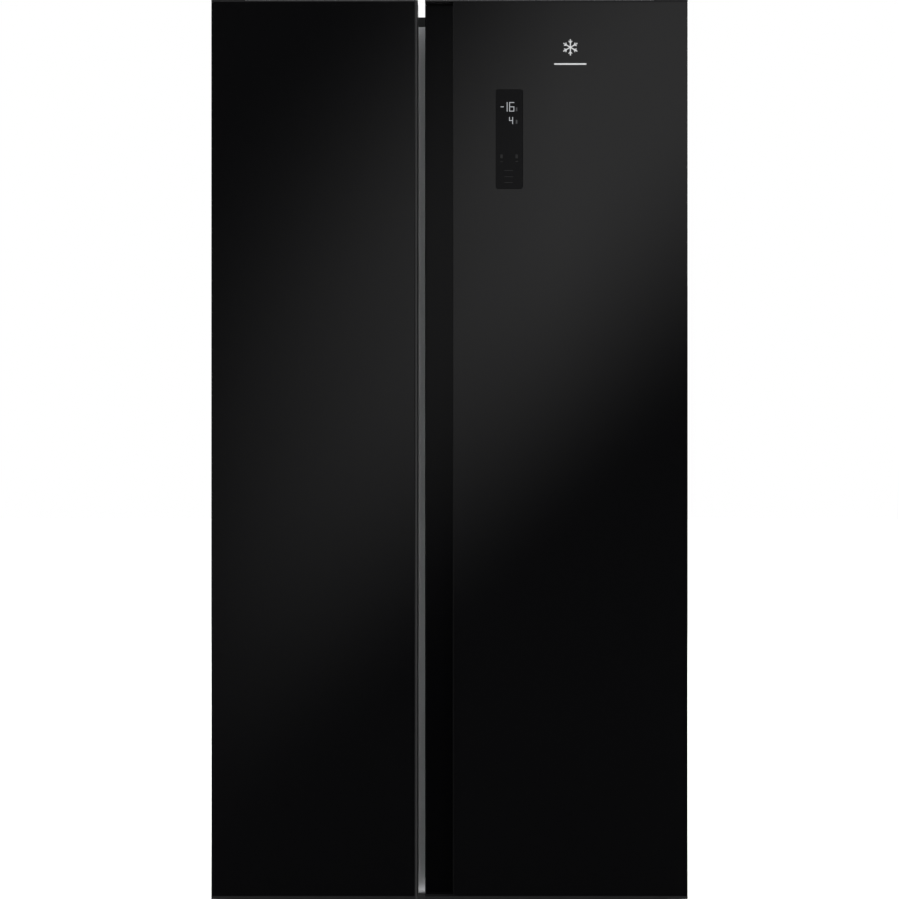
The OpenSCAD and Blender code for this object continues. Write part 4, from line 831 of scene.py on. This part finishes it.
def machine_bay():
    refined("compressor", 1.2 * MM, 3, COMPRESSOR_BLACK)
    refined("compressor_mounts", 0.6 * MM)
    refined("condenser", 0.0)
    refined("fan_shroud", 0.5 * MM)
    refined("condenser_fan", 0.5 * MM)
    refined("drain_pan", 0.7 * MM)
    refined("refrigerant_pipes", 0.0)
    refined("control_box", 0.8 * MM)
    refined("power_inlet", 0.6 * MM)
    refined("rear_cover", 0.4 * MM)
    coil_fins("condenser", 60, "base_paint")
    box_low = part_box("control_box")[0]
    can_low, can_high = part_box("compressor")
    inlet_low, inlet_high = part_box("power_inlet")
    inlet_x, inlet_z = (inlet_low.x + inlet_high.x) / 2, (inlet_low.z + inlet_high.z) / 2
    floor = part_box("drain_pan")[0].z
    runs = {
        "compressor_lead": [(can_high.x - 2 * MM, can_low.y + 80 * MM, can_low.z + 60 * MM),
                            (can_high.x + 14 * MM, can_low.y + 60 * MM, can_low.z + 66 * MM),
                            (can_high.x + 24 * MM, can_low.y + 8 * MM, floor + 10 * MM),
                            (box_low.x - 60 * MM, can_low.y + 4 * MM, floor + 5 * MM),
                            (box_low.x - 20 * MM, box_low.y + 30 * MM, floor + 14 * MM),
                            (box_low.x + 1 * MM, box_low.y + 60 * MM, box_low.z + 50 * MM)],
        "inlet_lead": [(inlet_x, inlet_low.y + 1 * MM, inlet_z),
                       (inlet_x, inlet_low.y - 18 * MM, inlet_z),
                       (inlet_low.x + 30 * MM, inlet_low.y - 22 * MM, floor + 6 * MM),
                       (can_high.x + 30 * MM, inlet_low.y - 6 * MM, floor + 5 * MM)],
    }
    for name, points in runs.items():
        add_piece(name, tube(name, points, 3.2 * MM), WIRE_SLEEVE, "cabinet", "mount_rubber")


doors()
gaskets()
touch_panel_marks()
cabinet()
rear_details()
compartments()
door_bins()
machine_bay()


# ---------------------------------------------------------------- studio


def stage_plane(name, width, height, place, turn, material):
    mesh = mesh_from(name, [(-width / 2, 0, -height / 2), (width / 2, 0, -height / 2),
                            (width / 2, 0, height / 2), (-width / 2, 0, height / 2)], [(0, 1, 2, 3)])
    plane = bpy.data.objects.new(name, mesh)
    plane.location = place
    plane.rotation_euler = turn
    mesh.materials.append(material)
    bpy.context.scene.collection.objects.link(plane)
    plane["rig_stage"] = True
    return plane


CAMERA_DISTANCE = 3.5
CARD_DISTANCE = 4.65
# The doors fill the height of the view but for a hair at each end.
DOOR_FIT = 0.9994
LAMP_TARGET = (0.0, 0.0, 0.9)


def reflected_softbox():
    """A soft diagonal light that only shows as a reflection in the doors."""
    low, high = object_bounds()
    reach = (CAMERA_DISTANCE + CARD_DISTANCE) / CAMERA_DISTANCE
    finish = Finish("softbox", (0.0, 0.0, 0.0), 1.0, Specular_IOR_Level=0.0, Emission_Strength=1.0)
    x, _, z = finish.axes(finish.place((1 / reach, 1.0, 1 / reach)))
    # Distance below the bright ridge, which climbs from lower left to upper right.
    below_ridge = 0.267 - z + 0.95 * x
    glow = (1.0 - below_ridge.rise(0.0, 0.65)) * below_ridge.rise(-0.82, -0.13)
    side = finish.node("ShaderNodeMapRange", {}, {"Value": x, "From Min": -0.573, "From Max": 0.212})
    strength = 0.58 * glow * side
    finish.set("Emission Color", finish.node("ShaderNodeCombineColor", {}, [strength, strength, strength]))
    door_low, door_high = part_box("fridge_door_frame")
    middle = (door_low.z + door_high.z) / 2
    card = stage_plane("softbox", 1.1 * (high.x - low.x) * reach, 1.06 * (high.z - low.z) * reach,
                       (0.0, low.y - CARD_DISTANCE, middle), (0, 0, 0), finish.material)
    card.visible_camera = False
    card.visible_diffuse = False
    card.visible_shadow = False


def surroundings():
    """White to the camera, soft to matt surfaces, and dark in front for reflections."""
    world = bpy.data.worlds.new("studio")
    bpy.context.scene.world = world
    shading = Shading(world)
    path = shading.node("ShaderNodeLightPath").socket.node
    _, back, up = shading.axes(shading.node("ShaderNodeTexCoord", output="Generated"))
    # Rays that head straight to the front see a dark room, and the others the light round it:
    # brightest at the horizon, dimmer overhead, with stripes for the metal to reflect.
    aside = 1.0 - (back * -1.0).rise(0.72, 0.95)
    level = 0.3 + 0.45 * up.rise(-0.5, 0.05) - 0.5 * up.rise(0.1, 0.75)
    wave = shading.node("ShaderNodeMath", {"operation": "SINE"}, [24.0 * back + 9.0 * up])
    reflected = 0.02 + aside * (0.8 * level + 0.8 * (0.5 + 0.5 * wave) ** 3.0)
    strength = shading.node("ShaderNodeMix", {"data_type": "FLOAT"},
                            {0: Field(shading, path.outputs["Is Glossy Ray"]), 2: 0.55, 3: reflected})
    strength = shading.node("ShaderNodeMix", {"data_type": "FLOAT"},
                            {0: Field(shading, path.outputs["Is Camera Ray"]), 2: strength, 3: 1.0})
    backdrop = shading.node("ShaderNodeBackground", {}, {"Color": (1, 1, 1, 1), "Strength": strength})
    shading.node("ShaderNodeOutputWorld", {}, [backdrop])


def studio():
    finish = Finish("studio_floor", (0.86, 0.86, 0.86), 0.9,
                    Emission_Color=(1, 1, 1, 1), Emission_Strength=0.6)
    finish.tint(finish.noise(0.6), (0.85, 0.85, 0.85), (0.87, 0.87, 0.87))
    floor = stage_plane("studio_floor", 40, 40, (0, 0, 0), (math.radians(-90), 0, 0), finish.material)
    floor.visible_glossy = False
    surroundings()
    reflected_softbox()
    # Name, place, width in metres and power in watts of each lamp.
    for name, place, size, power in (
        ("key", (-2.6, -3.4, 3.6), 2.6, 95.0),
        ("fill", (3.2, -3.0, 2.8), 2.6, 55.0),
        ("top", (0.0, 0.6, 4.2), 3.0, 110.0),
        ("back", (0.6, 4.0, 3.0), 3.0, 110.0),
    ):
        lamp = bpy.data.lights.new(name, "AREA")
        lamp.energy = power
        lamp.size = size
        holder = bpy.data.objects.new(name, lamp)
        holder.location = place
        aim = Vector(LAMP_TARGET) - Vector(place)
        holder.rotation_euler = aim.to_track_quat("-Z", "Y").to_euler()
        bpy.context.scene.collection.objects.link(holder)
        holder.visible_glossy = name in ("top", "back")


def camera():
    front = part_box("fridge_door_glass")[0].y
    door_low, door_high = (corner.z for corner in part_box("fridge_door_frame"))
    lens = bpy.data.cameras.new("camera")
    view_height = (door_high - door_low) * DOOR_FIT
    lens.sensor_width = 36.0
    lens.lens = lens.sensor_width * CAMERA_DISTANCE / view_height
    lens.clip_end = 60
    holder = bpy.data.objects.new("camera", lens)
    holder.location = (0.0, front - CAMERA_DISTANCE, (door_low + door_high) / 2)
    holder.rotation_euler = (math.radians(90), 0, 0)
    bpy.context.scene.collection.objects.link(holder)
    bpy.context.scene.camera = holder


studio()
camera()
bpy.context.scene.view_settings.view_transform = "Standard"
